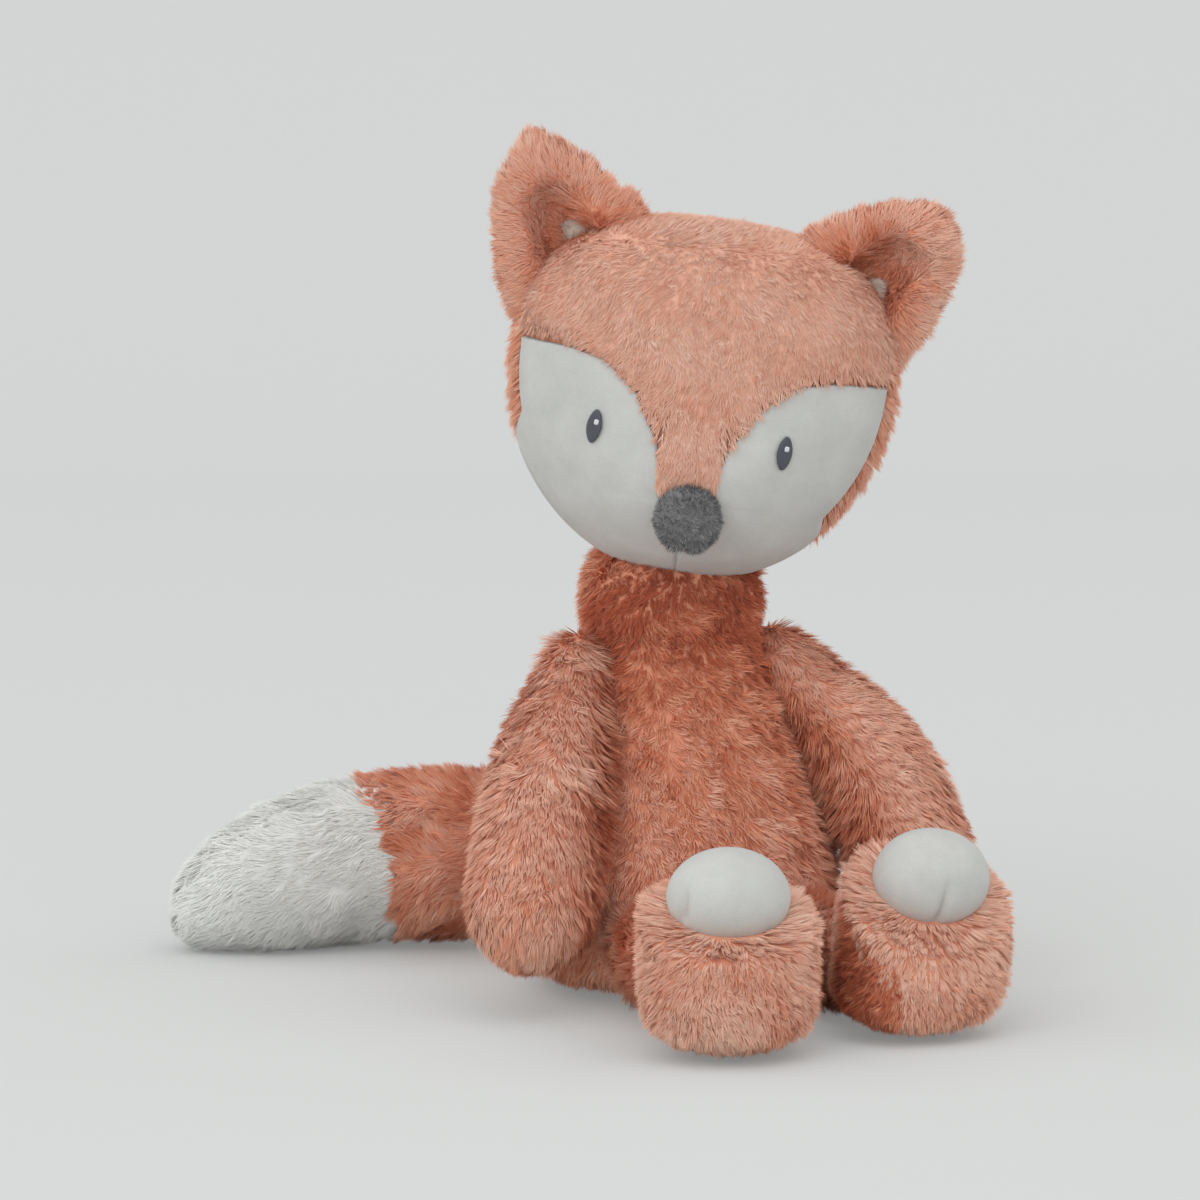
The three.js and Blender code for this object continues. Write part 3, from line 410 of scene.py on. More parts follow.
def pile(root, normal, nap, rng, length, lift, width, lock=4.0, pull=0.45, wander=0.3, sweep=26.0,
         tint=None, floor=None, spread=0.16, mottle=0.07, blend=1.4):
    """Fibres as closed three-sided spikes: tip = root + length * (nap * cos(lift) + normal * sin(lift)),
    drawn part of the way to the mean tip of its lock. It gives points, faces, normals at the faces' corners,
    and each point's tint and place along the fibre."""
    n = len(root)
    flow = drift(root, sweep, rng)
    nap = nap + wander * flow
    nap = unit(nap - normal * np.sum(nap * normal, 1, keepdims=True))
    group = locks(root, lock, rng)
    groups = group.max() + 1
    of_lock = rng.normal(size=(groups, 3))
    nap = unit(nap + 1.2 * spread * of_lock[group] + spread * rng.normal(size=(n, 3)))
    lift = np.broadcast_to(lift, n) * (1 + 0.18 * of_lock[group, 0] + 0.15 * rng.normal(size=n))
    lift = np.clip(lift, 0.06, 1.5)[:, None]
    varied = np.clip(1 + 0.12 * of_lock[group, 1] + 0.14 * rng.normal(size=n), 0.5, 1.5)
    length = (np.broadcast_to(length, n) * varied)[:, None]
    nap = unit(nap - normal * np.sum(nap * normal, 1, keepdims=True))
    way = nap * np.cos(lift) + normal * np.sin(lift)
    tip = root + way * length
    sums = np.zeros((groups, 3))
    np.add.at(sums, group, tip)
    mean = sums / np.maximum(np.bincount(group), 1)[:, None]
    draw = pull * (0.6 + 0.4 * rng.random((n, 1)))
    tip = tip + draw * (mean[group] - tip)
    if floor is not None:
        low = tip[:, 2] < floor
        tip[low, 2] = floor + rng.random(low.sum()) * 0.6
    way = unit(tip - root)
    side = unit(np.cross(way, normal))
    top = unit(np.cross(side, way))
    wide = (np.broadcast_to(width, n) * (0.75 + 0.5 * rng.random(n)))[:, None]
    foot = root - 0.7 * normal
    rows = [foot - side * wide / 2, foot + side * wide / 2, foot + top * wide * 0.25, tip]
    each = len(rows)
    points = np.stack(rows, 1).reshape(-1, 3)
    up = np.tile([0.0, 0.0, 0.0, 1.0], n)
    faces = (np.arange(n)[:, None, None] * each + SPIKE_FACES).reshape(-1, 3)
    corner = points[faces]
    out = unit(np.cross(corner[:, 1] - corner[:, 0], corner[:, 2] - corner[:, 0]))
    normal = np.repeat(normal, len(SPIKE_FACES), 0)
    lying = np.sum(out * normal, 1)
    # soft as the whole surface above, but a face that looks down keeps its own normal, or it renders black
    share = blend * np.clip((lying + 0.45) / 0.6, 0, 1)[:, None] * (1 - 0.6 * up[faces])
    shading = unit(out[:, None] + share[..., None] * normal[:, None]).reshape(-1, 3)
    shade = 0.5 + mottle * (of_lock[group, 2] + rng.normal(size=n) + flow[:, 0])
    # the tint lays painted shade on some pieces and a paler tone on others
    if tint is not None:
        shade = shade + tint
    tints = np.repeat(np.clip(shade, 0.03, 0.97), each)
    return points, faces, shading, tints, up


def closed_skin(form):
    """A grid as a closed skin with one point at each pole. It gives the same five things as pile."""
    rows, around = form.shape[:2]
    normal = normals_of(form)
    points = np.concatenate([form[0, :1], form[1:-1].reshape(-1, 3), form[-1, :1]])
    points[0], points[-1] = form[0].mean(0), form[-1].mean(0)
    shading = np.concatenate([normal[0, :1], normal[1:-1].reshape(-1, 3), normal[-1, :1]])
    i = np.arange(around)
    j = (i + 1) % around
    start = 1 + np.arange(rows - 3)[:, None] * around
    quads = np.stack([start + i, start + j, start + j + around, start + i + around], -1).reshape(-1, 4)
    faces = np.concatenate([quads[:, [0, 1, 2]], quads[:, [0, 2, 3]]])
    top = 1 + (rows - 3) * around
    lower = np.column_stack([np.zeros(around, int), 1 + j, 1 + i])
    upper = np.column_stack([top + i, top + j, np.full(around, len(points) - 1)])
    faces = np.concatenate([lower, faces, upper])
    corner = points[faces]
    volume = np.sum(corner[:, 0] * np.cross(corner[:, 1], corner[:, 2]))
    faces = faces if volume > 0 else faces[:, ::-1]
    return points, faces, shading[faces].reshape(-1, 3), np.full(len(points), 0.4), np.full(len(points), 0.35)


# Colours of the pile over its tint, from the darkest, which also carries painted shade, to the palest at its
# tips

ORANGE_STOPS = ((0.02, "#aa5740"), (0.2, "#ca785a"), (0.35, "#dc977a"), (0.55, "#e3af98"), (0.95, "#ecccb8"))
SHORT_ORANGE_STOPS = ((0.15, "#d6987f"), (0.5, "#deb09a"), (0.85, "#e6c6b6"))
WHITE_STOPS = ((0.1, "#dfdfdd"), (0.5, "#e6e7e4"), (0.9, "#ebebea"))
LINING_SHADE_STOPS = ((0.1, "#b3a297"), (0.5, "#bfb0a6"), (0.9, "#cbbeb5"))
GREY_STOPS = ((0.1, "#606061"), (0.5, "#828283"), (0.9, "#a9a9aa"))


# Blender objects

def linear(hex_colour):
    """An sRGB hex colour as linear light."""
    parts = [int(hex_colour[i:i + 2], 16) / 255 for i in (1, 3, 5)]
    return tuple(c / 12.92 if c <= 0.04045 else ((c + 0.055) / 1.055) ** 2.4 for c in parts) + (1.0,)


def add(tree, kind, links=None, **settings):
    """A shader node with its settings, its inputs linked or set by name or number."""
    made = tree.nodes.new(kind)
    for key, value in settings.items():
        setattr(made, key, value)
    for key, value in (links or {}).items():
        if isinstance(value, bpy.types.NodeSocket):
            tree.links.new(value, made.inputs[key])
        else:
            made.inputs[key].default_value = value
    return made


def new_material(name):
    """An empty node material, its tree and its output."""
    material = bpy.data.materials.get(name) or bpy.data.materials.new(name)
    material.use_nodes = True
    tree = material.node_tree
    tree.nodes.clear()
    return material, tree, add(tree, "ShaderNodeOutputMaterial")


def ramp(tree, factor, stops):
    """A colour ramp between hex colours at the given places."""
    made = add(tree, "ShaderNodeValToRGB", {0: factor})
    bar = made.color_ramp
    while len(bar.elements) < len(stops):
        bar.elements.new(0.5)
    for element, (place, colour) in zip(bar.elements, stops):
        element.position = place
        element.color = linear(colour)
    return made.outputs[0]


def surfaced(made, inputs):
    """A new material with a principled surface of those inputs."""
    material, tree, out = made
    shader = add(tree, "ShaderNodeBsdfPrincipled", inputs)
    tree.links.new(shader.outputs[0], out.inputs[0])
    return material


def pile_material(name, stops, root, root_shade_reach=0.45):
    """Knitted acrylic pile: a matt fibre with painted shade at the root, redder and darker, for the shade
    deep in the pile.
    The first axis of the map is the fibre's tone, its dye lot with any painted shade, the second runs up the
    fibre."""
    made = new_material(name)
    tree = made[1]
    uv = add(tree, "ShaderNodeUVMap", uv_map="OFBake")
    split = add(tree, "ShaderNodeSeparateXYZ", {0: uv.outputs[0]})
    dye_and_shade = ramp(tree, split.outputs[0], stops)
    up = add(tree, "ShaderNodeMapRange", {0: split.outputs[1], 1: 0.05, 2: root_shade_reach, 3: 0.0, 4: 1.0},
             interpolation_type="SMOOTHSTEP")
    # painted shade: the darker root colour is mixed in up the fibre as far as root_shade_reach
    mixed = add(tree, "ShaderNodeMix", {0: up.outputs[0], 6: linear(root), 7: dye_and_shade}, data_type="RGBA")
    return surfaced(made, {"Base Color": mixed.outputs[2], "Roughness": 1.0, "Specular IOR Level": 0.0})


def mesh_object(name, parts, material, mapped=True):
    """One object from parts as pile gives them. Pile has a map of tone, its dye lot with any painted shade,
    and place along the fibre; a plain skin has none."""
    starts = np.cumsum([0] + [len(part[0]) for part in parts])
    faces = np.concatenate([part[1] + start for part, start in zip(parts, starts)])
    points, shading, tints, along = (np.concatenate([part[k] for part in parts]) for k in (0, 2, 3, 4))
    points = points * MM
    mesh = bpy.data.meshes.new(name)
    mesh.vertices.add(len(points))
    mesh.vertices.foreach_set("co", points.astype(np.float32).ravel())
    mesh.loops.add(faces.size)
    mesh.loops.foreach_set("vertex_index", faces.astype(np.int32).ravel())
    mesh.polygons.add(len(faces))
    mesh.polygons.foreach_set("loop_start", np.arange(0, faces.size, 3, dtype=np.int32))
    mesh.polygons.foreach_set("loop_total", np.full(len(faces), 3, np.int32))
    mesh.update(calc_edges=True)
    mesh.materials.append(material)
    if mapped:
        layer = mesh.uv_layers.new(name="OFBake")
        flat = faces.ravel()
        # a fibre's map is a line up its tone, dye lot and painted shade, so each face gets a sliver of room
        # across
        sliver = np.tile([0.0, 0.004, 0.002], len(faces))
        uv = np.column_stack([tints[flat] * 0.94 + 0.02 + sliver, along[flat] * 0.9 + 0.05])
        layer.data.foreach_set("uv", uv.astype(np.float32).ravel())
    mesh.polygons.foreach_set("use_smooth", np.ones(len(faces), bool))
    # faces of a fibre have normals of their own, which the renderer keeps apart only over sharp edges
    fibre = np.concatenate([np.full(len(part[0]), np.ptp(part[4]) > 0) for part in parts])
    ends = np.empty(2 * len(mesh.edges), np.int32)
    mesh.edges.foreach_get("vertices", ends)
    layer = mesh.attributes.new("sharp_edge", "BOOLEAN", "EDGE")
    layer.data.foreach_set("value", fibre[ends[::2]])
    layer = mesh.attributes.new("custom_normal", "FLOAT_VECTOR", "CORNER")
    layer.data.foreach_set("vector", shading.astype(np.float32).ravel())
    mesh.validate()
    made = bpy.data.objects.new(name, mesh)
    bpy.context.scene.collection.objects.link(made)
    return made


def on_floor(form):
    """A form with what would sink into the floor lying on it."""
    return np.maximum(form, [-999, -999, FLOOR_REST])


def settle(made, body, nodes):
    """Hangs a finished piece on its body, in place of the plain solids it stands for."""
    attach(made, body)
    if nodes:
        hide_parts(*nodes)
    return made


def orange():
    """Orange pile, dyed in the yarn: pale and dusty at the tips, with painted shade, redder and darker, where
    its roots show.
    """
    return pile_material("long_pile_orange", ORANGE_STOPS, "#d07b5c")


def short_orange():
    """The same yarn sheared shorter on the brow, with less of the painted root shade up the fibre."""
    return pile_material("short_pile_orange", SHORT_ORANGE_STOPS, "#d8957a", root_shade_reach=0.3)


def white():
    """Undyed white pile of the tail's end."""
    return pile_material("long_pile_white", WHITE_STOPS, "#eeeeec")


def shaded_lining_pile():
    """White pile of the ear linings, painted darker and warmer as the shade in the ear's hollow."""
    return pile_material("short_pile_pale_shaded", LINING_SHADE_STOPS, "#a8968b")


def velboa():
    """White velboa: a knitted velour sheared to about a millimetre. Its nap is too fine to show as fibres,
    so it is drawn as grain of about a millimetre, with slow clouds where the nap has been stroked."""
    made = new_material("velboa_white")
    tree = made[1]
    place = add(tree, "ShaderNodeTexCoord").outputs["Object"]
    grain, cloud = (
        add(tree, "ShaderNodeTexNoise", {"Vector": place, "Scale": 1 / (size * MM), "Detail": 3.0,
                                         "Roughness": rough})
        for size, rough in ((0.9, 0.7), (14, 0.55)))
    both = add(tree, "ShaderNodeMix", {0: 0.35, 2: cloud.outputs[0], 3: grain.outputs[0]}, data_type="FLOAT")
    colour = ramp(tree, both.outputs[0], ((0.3, "#b6b7b4"), (0.5, "#bebfbc"), (0.7, "#c6c7c4")))
    bump = add(tree, "ShaderNodeBump", {"Strength": 0.5, "Distance": 0.25 * MM, "Height": grain.outputs[0]})
    return surfaced(made, {"Base Color": colour, "Roughness": 0.9, "Specular IOR Level": 0.05,
                           "Sheen Weight": 0.08, "Sheen Roughness": 0.5, "Normal": bump.outputs[0]})


def satin(name, dark, light):
    """Rayon embroidery thread laid in satin stitch: glossy along the thread, with a groove every 0.4 mm,
    painted darker as shade.
    """
    made = new_material(name)
    tree = made[1]
    place = add(tree, "ShaderNodeTexCoord").outputs["Object"]
    turned_place = add(tree, "ShaderNodeMapping", {"Vector": place, "Rotation": (0.0, 0.5, 0.0)})
    # a band of the wave is 2 pi / 20 of a unit wide, so the scale is that over the thread's spacing
    wave = add(tree, "ShaderNodeTexWave", {"Vector": turned_place.outputs[0], "Scale": 0.314 / (0.4 * MM),
                                          "Distortion": 1.0, "Detail": 1.0}, bands_direction="Z")
    # painted shade: the colour darkens towards each groove of the wave
    colour = ramp(tree, wave.outputs[1], ((0.0, dark), (1.0, light)))
    bump = add(tree, "ShaderNodeBump", {"Strength": 0.6, "Distance": 0.1 * MM, "Height": wave.outputs[1]})
    return surfaced(made, {"Base Color": colour, "Roughness": 0.45, "Normal": bump.outputs[0]})


def felt():
    """Grey brushed pile of the nose."""
    return pile_material("brushed_pile_grey", GREY_STOPS, "#6a6a6b")


def spikes(form, per_mm2, seed, keep=None, nap_sign=-1.0, nap=None, **how):
    """Pile rooted evenly over a form, combed along its rows, or along the given field."""
    rng = np.random.default_rng(seed)
    area = roots_on(form, 1, np.random.default_rng(0), keep)[3]
    root, normal, along, _ = roots_on(form, int(area * per_mm2), rng, keep)
    way = along * nap_sign if nap is None else nap(root, normal, along)
    given = {key: value(root, normal) if callable(value) else value for key, value in how.items()}
    return pile(root, normal, way, rng, **given)


# Operators

def measured(name, description, millimetres):
    """A property that is a length."""
    return bpy.props.FloatProperty(name=name, description=description, default=millimetres * MM,
                                   unit="LENGTH", subtype="DISTANCE")


class FurSizes(bpy.types.PropertyGroup):
    """Sizes of the pile that a user would change."""

    density: bpy.props.FloatProperty(name="Density", description="Fibres on a square millimetre of long pile",
                                     default=2.0, min=0.2, max=4.0)
    length: measured("Length", "Length of the long pile", 6.8)
    short: measured("Brow length", "Length of the sheared pile on the brow", 3.6)
    width: measured("Width", "Width of a tuft at its root", 0.72)
    backing: measured("Backing depth", "Depth of the backing under the fur's surface", 4.2)


class StageColours(bpy.types.PropertyGroup):
    """Colour of the paper floor."""

    floor: bpy.props.FloatVectorProperty(name="Floor", size=3, subtype="COLOR", default=linear("#d2d4d3")[:3],
                                         description="Colour of the paper under and behind the toy")


def sizes():
    """The pile's sizes in millimetres, and its density."""
    got = bpy.context.scene.fox_fur
    lengths = {name: getattr(got, name) / MM for name in ("length", "short", "width", "backing")}
    return {"density": got.density, **lengths}


class Piece(bpy.types.Operator):
    """Shared ground of the pieces' operators."""

    bl_options = {"REGISTER", "UNDO"}

    def execute(self, context):
        self.build(sizes())
        return {"FINISHED"}


class FOX_OT_body(Piece):
    """The pear of the body, and the neck ball under the head"""

    bl_idname = "fox.body"
    bl_label = "Body and neck"

    def build(self, got):
        skin = body_form(-got["backing"], got["backing"] - NECK_UNDER)
        keep = lambda p: (p[:, 2] < BODY_HEIGHT + 1) & (p[:, 2] > 1.5)

        def down(root, normal, along):
            """Down, and a little to the toy's left."""
            return np.array([0.25, 0, -1.0]) + 0 * root

        def painted_shade(root, normal):
            """Painted shade: darker and redder up the body towards the head, most on the chest under the
            chin, less on the belly and the back.
            """
            chest = ease(root[:, 2], 94, 130) * ease(-normal[:, 1], -0.3, 0.5)
            return -0.06 - 0.12 * ease(root[:, 2], 50, 100) - 0.28 * chest

        fur = spikes(skin, got["density"] * 0.9, 11, keep=keep, nap=down, length=got["length"] * 0.75,
                     lift=0.65, width=got["width"], floor=0.2, tint=painted_shade, **LOOSE)
        settle(mesh_object("body", [closed_skin(on_floor(skin)), fur], orange()),
               "torso", ["body_cover", "body_fill"])
        ball = ball_form([NECK_BALL_RADIUS - NECK_UNDER] * 3) + NECK_PIVOT
        keep = lambda p: (p[:, 2] > BODY_HEIGHT - 3) & (p[:, 2] < BODY_HEIGHT + 32)
        # the neck's tint is painted shade: darker and redder on its front, under the chin
        fur = spikes(ball, got["density"], 12, keep=keep, nap=down, length=got["length"] * 0.75, lift=0.65,
                     width=got["width"], **LOOSE,
                     tint=lambda root, normal: -0.16 - 0.3 * ease(-normal[:, 1], -0.3, 0.5))
        settle(mesh_object("neck", [closed_skin(ball), fur], orange()),
               "neck", ["neck_cover", "neck_fill"])


class FOX_OT_arms(Piece):
    """Two teardrop arms that end in round paws"""

    bl_idname = "fox.arms"
    bl_label = "Arms"

    def build(self, got):
        for side, sign in SIDES:
            elbow, paw = np.array(ELBOW[side], float), np.array(PAW[side], float)
            end = paw + unit(paw - elbow) * PAW_ROUND
            full = lambda share: smooth_row(ARM_FULL, share)
            form = tube_form([ARM_ROOT, SHOULDER, elbow, paw, end], (1, 0, 0),
                             lambda share: (ARM_HALF_WIDTH * full(share), ARM_HALF_DEPTH * full(share)),
                             ARM_HALF_WIDTH * ARM_FULL[0][1], ARM_HALF_WIDTH, -got["backing"])
            form = mirrored(form, sign)

            def combed(root, normal, along):
                """Down the arm, and forwards and down over its top."""
                top = ease(root[:, 2], 92, 114)[:, None]
                return along * (1 - top) + np.array([0.3 * sign, -0.35, -1.0]) * top

            def painted_shade(root, normal):
                """Painted shade: darker and redder on the side by the body, and a little on top, under the
                head.
                """
                inner = ease(-sign * normal[:, 0], 0.1, 0.7) * ease(-normal[:, 1], -0.2, 0.4)
                return 0.07 - 0.24 * inner - 0.04 * ease(root[:, 2], 90, 115)

            def by_body(root, normal):
                """How much a place faces the body, above the arm's free end."""
                return ease(-sign * normal[:, 0], 0.3, 0.9) * ease(root[:, 2], 40, 60)

            def long_by_body(root, normal):
                """Longer where the arm faces the body, and on its upper half."""
                return got["length"] * (0.88 + 0.3 * by_body(root, normal) + 0.15 * ease(root[:, 2], 55, 85))

            fur = spikes(form, got["density"] * 1.28, 20 + int(sign), nap=combed,
                         keep=lambda p: p[:, 2] < 124,
                         lift=lambda root, normal: 0.45 + 0.4 * by_body(root, normal), length=long_by_body,
                         width=got["width"], floor=FIBRE_REST, lock=2.8, spread=0.2, tint=painted_shade)
            settle(mesh_object(f"arm_{side}", [closed_skin(form), fur], orange()), f"arm_{side}",
                   [f"arm_{side}_cover", f"arm_{side}_fill"])


class FOX_OT_legs(Piece):
    """Legs, drum feet and their padded toe caps"""

    bl_idname = "fox.legs"
    bl_label = "Legs and feet"

    def build(self, got):
        for side, sign in SIDES:
            foot = FOOT[side]
            heel = (foot[0], foot[1] + FOOT_HALF_LENGTH - ANKLE_OVERLAP, HIP[2])
            leg = mirrored(tube_form([(HIP[0], HIP[1] + LEG_RADIUS, HIP[2]), HIP, heel], (1, 0, 0),
                                     lambda share: (LEG_RADIUS + 0 * share, LEG_RADIUS + 0 * share),
                                     LEG_RADIUS, LEG_RADIUS, -got["backing"]), sign)
            # the legs' tint of 0.1 is painted light: a paler orange for light that reaches them between the
            # feet and arms
            fur = spikes(leg, got["density"] * 0.8, 30 + int(sign), nap_sign=1.0, length=got["length"],
                         lift=0.6, width=got["width"], floor=FIBRE_REST, tint=0.1)
            settle(mesh_object(f"leg_{side}", [closed_skin(on_floor(leg)), fur], orange()),
                   f"leg_{side}", [f"leg_{side}_cover", f"leg_{side}_fill"])
            self.foot(side, sign, got)

    def foot(self, side, sign, got):
        """The drum: short upright pile round its side, and long pile that fans out from the toe cap."""
        drum = mirrored(foot_form(side, -got["backing"]), sign)
        axes, middle = toe_face(side)
        look, middle = axes[:, 2] * [sign, 1, 1], middle * [sign, 1, 1]
        rise = lambda p: (p - middle) @ look
        flat = lambda p: p - middle - rise(p)[:, None] * look
        on_face = lambda p: (rise(p) > -10.5) & (np.linalg.norm(flat(p), axis=1) > 15.5)

        def fan(root, normal, along):
            """Outwards from the toe cap."""
            return unit(flat(root))

        def petal(root, normal):
            """Longest by the toe cap, shorter at the rim."""
            return got["length"] * (1.05 - 0.4 * ease(np.linalg.norm(flat(root), axis=1), 20, 28))

        def shade_between_feet(root, normal):
            """Paler pile on the feet, and painted shade on a front panel of the left foot, on the side
            towards the other foot.
            """
            panel = ease(TOE_SEAM_X - root[:, 0], -0.4, 0.4) * ease(-root[:, 1], 100, 108)
            return 0.1 - 0.42 * panel * (sign > 0)

        side_fur = spikes(drum, got["density"] * 2.05, 40 + int(sign), keep=lambda p: rise(p) < -7.5,
                          length=got["length"] * 0.58, lift=0.8, width=got["width"] * 0.9,
                          floor=FIBRE_REST, lock=2.0, pull=0.3, spread=0.26, tint=shade_between_feet)
        face_fur = spikes(drum, got["density"] * 1.7, 50 + int(sign), keep=on_face, nap=fan, length=petal,
                          lift=0.42, width=got["width"], floor=FIBRE_REST, lock=3.4, pull=0.55,
                          wander=0.12, spread=0.08, tint=0.15)
        skin = closed_skin(on_floor(drum))
        settle(mesh_object(f"foot_{side}", [skin, side_fur, face_fur], orange()), f"leg_{side}",
               [f"foot_{side}_cover"])
        cap = mirrored(toe_cap_form(side, -0.5), sign)
        settle(mesh_object(f"toe_pad_{side}", [closed_skin(cap)], velboa(), mapped=False), f"leg_{side}",
               [f"toe_cap_{side}"])


class FOX_OT_tail(Piece):
    """The fat tail: orange to the seam, then longer white pile"""

    bl_idname = "fox.tail"
    bl_label = "Tail"

    def build(self, got):
        path = np.array(TAIL_PATH, float)
        start = path[0] - unit(path[1] - path[0]) * TAIL_ROOT_RADIUS
        path = np.vstack([start, path])
        size = lambda share: (TAIL_RADIUS * smooth_row(TAIL_FULL, share),) * 2
        form = tube_form(path, (0, 1, 0), size, TAIL_ROOT_RADIUS, TAIL_TIP_ROUND, -got["backing"],
                         around=96, rows=96)
        rows = form.mean(1)
        places, tangents, _ = curve_through(path)
        at = int(TAIL_SEAM * (len(places) - 1))
        seam, way = places[at], tangents[at]
        row = int(np.argmin(np.linalg.norm(rows - seam, axis=1)))
        lid = rows[row] + (form[row] - rows[row]) * np.array([0.6, 0.05])[:, None, None]
        base = np.concatenate([form[:row + 1], lid])
        end = np.concatenate([lid[::-1], form[row:]])
        ragged = np.random.default_rng(60)
        wave = [(unit(ragged.normal(size=3)) / size, ragged.uniform(0, 6.28)) for size in (1.6, 2.4, 3.5)]

        def beyond(p):
            """How far past the seam: the seam leans back over the top, and its edge is ragged."""
            uneven = sum(np.sin(p @ turn + phase) for turn, phase in wave)
            return (p - seam) @ way - 11 * ease(p[:, 2], 44, 64) + 0.9 * uneven

        fur = spikes(form, got["density"] * 1.05, 61, keep=lambda p: beyond(p) < 0.8, nap_sign=1.0,
                     length=got["length"] * 0.9, lift=0.5, width=got["width"], floor=FIBRE_REST, tint=-0.1,
                     wander=0.5)
        settle(mesh_object("tail_base", [closed_skin(on_floor(base)), fur], orange()),
               "tail", ["tail_base_cover", "tail_fill"])
        fur = spikes(form, got["density"] * 1.3, 62, keep=lambda p: beyond(p) > 0, nap_sign=1.0,
                     length=got["length"] * 0.85, lift=0.42, width=got["width"], floor=FIBRE_REST, lock=5.0,
                     pull=0.25, mottle=0.04, blend=2.4)
        settle(mesh_object("tail_tip", [closed_skin(on_floor(end)), fur], white()),
               "tail", ["tail_tip_cover"])


BROW_POINTS = np.array(BROW_EDGE)[::-1] * [HEAD_HALF_WIDTH, HEAD_CROWN]


def brow_edge(x):
    """Height of the brow's lower edge over the face, in the head's own axes."""
    return np.interp(np.abs(x), BROW_POINTS[:, 0], BROW_POINTS[:, 1])


def edge_slope(x):
    """How steeply the brow's edge climbs towards the side."""
    return brow_edge(np.asarray(x) + 0.5) - brow_edge(np.asarray(x) - 0.5)


def edge_gap(p):
    """How far inside the brow's lower edge, square to it."""
    return (p[..., 2] - brow_edge(p[..., 0])) / np.sqrt(1 + edge_slope(p[..., 0]) ** 2)


def seam_depth(x, z):
    """How far before the head's middle the white face ends: less under the chin, where it wraps round."""
    right, left = 31 * ease(-z, 12, 30), 27 * ease(-z, 34, 50)
    crown = 26 * ease(z, 24, 44)
    return FACE_SEAM - np.where(x < 0, right, left) - crown


def head_rows(z, grow):
    """Half width, front depth and back depth of the head's ring at each height."""
    crown = z > HEAD_WIDEST
    fullness = np.where(crown, CROWN_FULLNESS, CHIN_FULLNESS)
    height = np.where(crown, HEAD_CROWN - HEAD_WIDEST, HEAD_CHIN + HEAD_WIDEST) + grow
    full = np.clip(1 - (np.abs(z - HEAD_WIDEST) / height) ** fullness, 1e-5, 1) ** (1 / fullness)
    return (HEAD_HALF_WIDTH + grow) * full, (HEAD_FRONT + grow) * full, (HEAD_BACK + grow) * full


def head_at(angle, z, grow):
    """A place on the head. The angle is 0 at the middle of the face and a quarter turn at the side."""
    wide, front, back = head_rows(z, grow)
    x = wide * bulge(np.sin(angle), HEAD_FULLNESS)
    y = -back * bulge(np.cos(angle), HEAD_FULLNESS)
    return np.stack([x, swollen(x, y, z, y * front / back), z + 0 * x], -1)


def face_surface(x, z, grow):
    """How far forward the face lies at places (x, z)."""
    wide = head_rows(z, grow)[0]
    angle = np.arcsin(np.clip(np.abs(x) / wide, 0, 1) ** (HEAD_FULLNESS / 2))
    return head_at(angle, z, grow)[..., 1]


class FOX_OT_head(Piece):
    """The head: back and brow of fur, and the white face under them"""

    bl_idname = "fox.head"
    bl_label = "Head"

    def build(self, got):
        is_back = lambda p: -p[:, 1] < seam_depth(p[:, 0], p[:, 2])
        is_brow = lambda p: ~is_back(p) & (edge_gap(p) > 0)

        def back_nap(root, normal, along):
            """Down and backwards, and a little out to the sides."""
            return np.column_stack([0.2 * root[:, 0] / 60, 0.5 + 0 * root[:, 0], -1 + 0 * root[:, 0]])

        form = head_form(HEAD_SKIN)
        fur = spikes(form, got["density"], 71, keep=is_back, nap=back_nap, length=got["length"], lift=0.5,
                     width=got["width"], tint=lambda root, normal: 0.3 * ease(root[:, 2], 36, 54))
        settle(mesh_object("head_back", [seat(closed_skin(form)), seat(fur)], orange()),
               "head", ["head_back_cover", "head_fill"])

        low, high = head_form(BROW_BACKING, 128, 81), head_form(BROW_PILE, 128, 81)
        inside = np.minimum(edge_gap(low) - 1.8, -low[..., 1] - seam_depth(low[..., 0], low[..., 2]))
        skin = low + (high - low) * ease(inside, -0.5, 2.0)[..., None]

        def brow_nap(root, normal, along):
            """Down the brow, swirling sideways over the crown, and out over the brow's lower edge."""
            rim = ease(-edge_gap(root), -8, -2.5)[:, None]
            x = root[:, 0]
            turn = 0.66 * np.pi * ease(normal[:, 2], 0.72, 0.95)
            forward = unit(np.column_stack([(x - 4) / 70, -0.6 + 0 * x, -1 + ease(root[:, 2], 25, 50)]))
            way = forward * np.cos(turn)[:, None] + np.sin(turn)[:, None] * np.array([1.0, 0, 0])
            slope = np.clip(edge_slope(x), -1, 1)
            out = np.column_stack([0.25 * slope, -0.2 + 0 * x, -1 + 0 * x])
            return way * (1 - rim) + unit(out) * rim

        def brow_length(root, normal):
            """Longest where the brow hangs over the left cheek."""
            rim = ease(-edge_gap(root), -6.5, -2.5)
            return got["short"] * (1 + rim * 0.35 * ease(root[:, 0], 5, 30))

        def brow_lift(root, normal):
            """Lying down, but standing up on the crown and over the edge."""
            return 0.3 + 0.16 * ease(-edge_gap(root), -6, -2.5) + 0.15 * ease(normal[:, 2], 0.8, 0.95)

        fur = spikes(head_form(BROW_PILE, 320, 193), got["density"] * 1.75, 72,
                     keep=lambda p: is_brow(p) & (edge_gap(p) > 2.5), nap=brow_nap,
                     length=brow_length, lift=brow_lift, width=got["width"] * 0.85, lock=1.8, pull=0.1,
                     wander=0.35, spread=0.18, mottle=0.09, blend=2.4)
        settle(mesh_object("brow", [seat(closed_skin(skin)), seat(fur)], short_orange()), "head",
               ["brow_cover"])
        for side, sign in SIDES:
            settle(mesh_object(f"cheek_panel_{side}", [seat(cheek_panel(sign))], velboa(), mapped=False),
                   "head", [f"cheek_{side}"])


def seat(part):
    """A part laid out on the head's own axes, put on the sitting toy."""
    points, faces, shading, tints, along = part
    return on_head(points), faces, on_head(shading) - on_head(shading * 0), tints, along


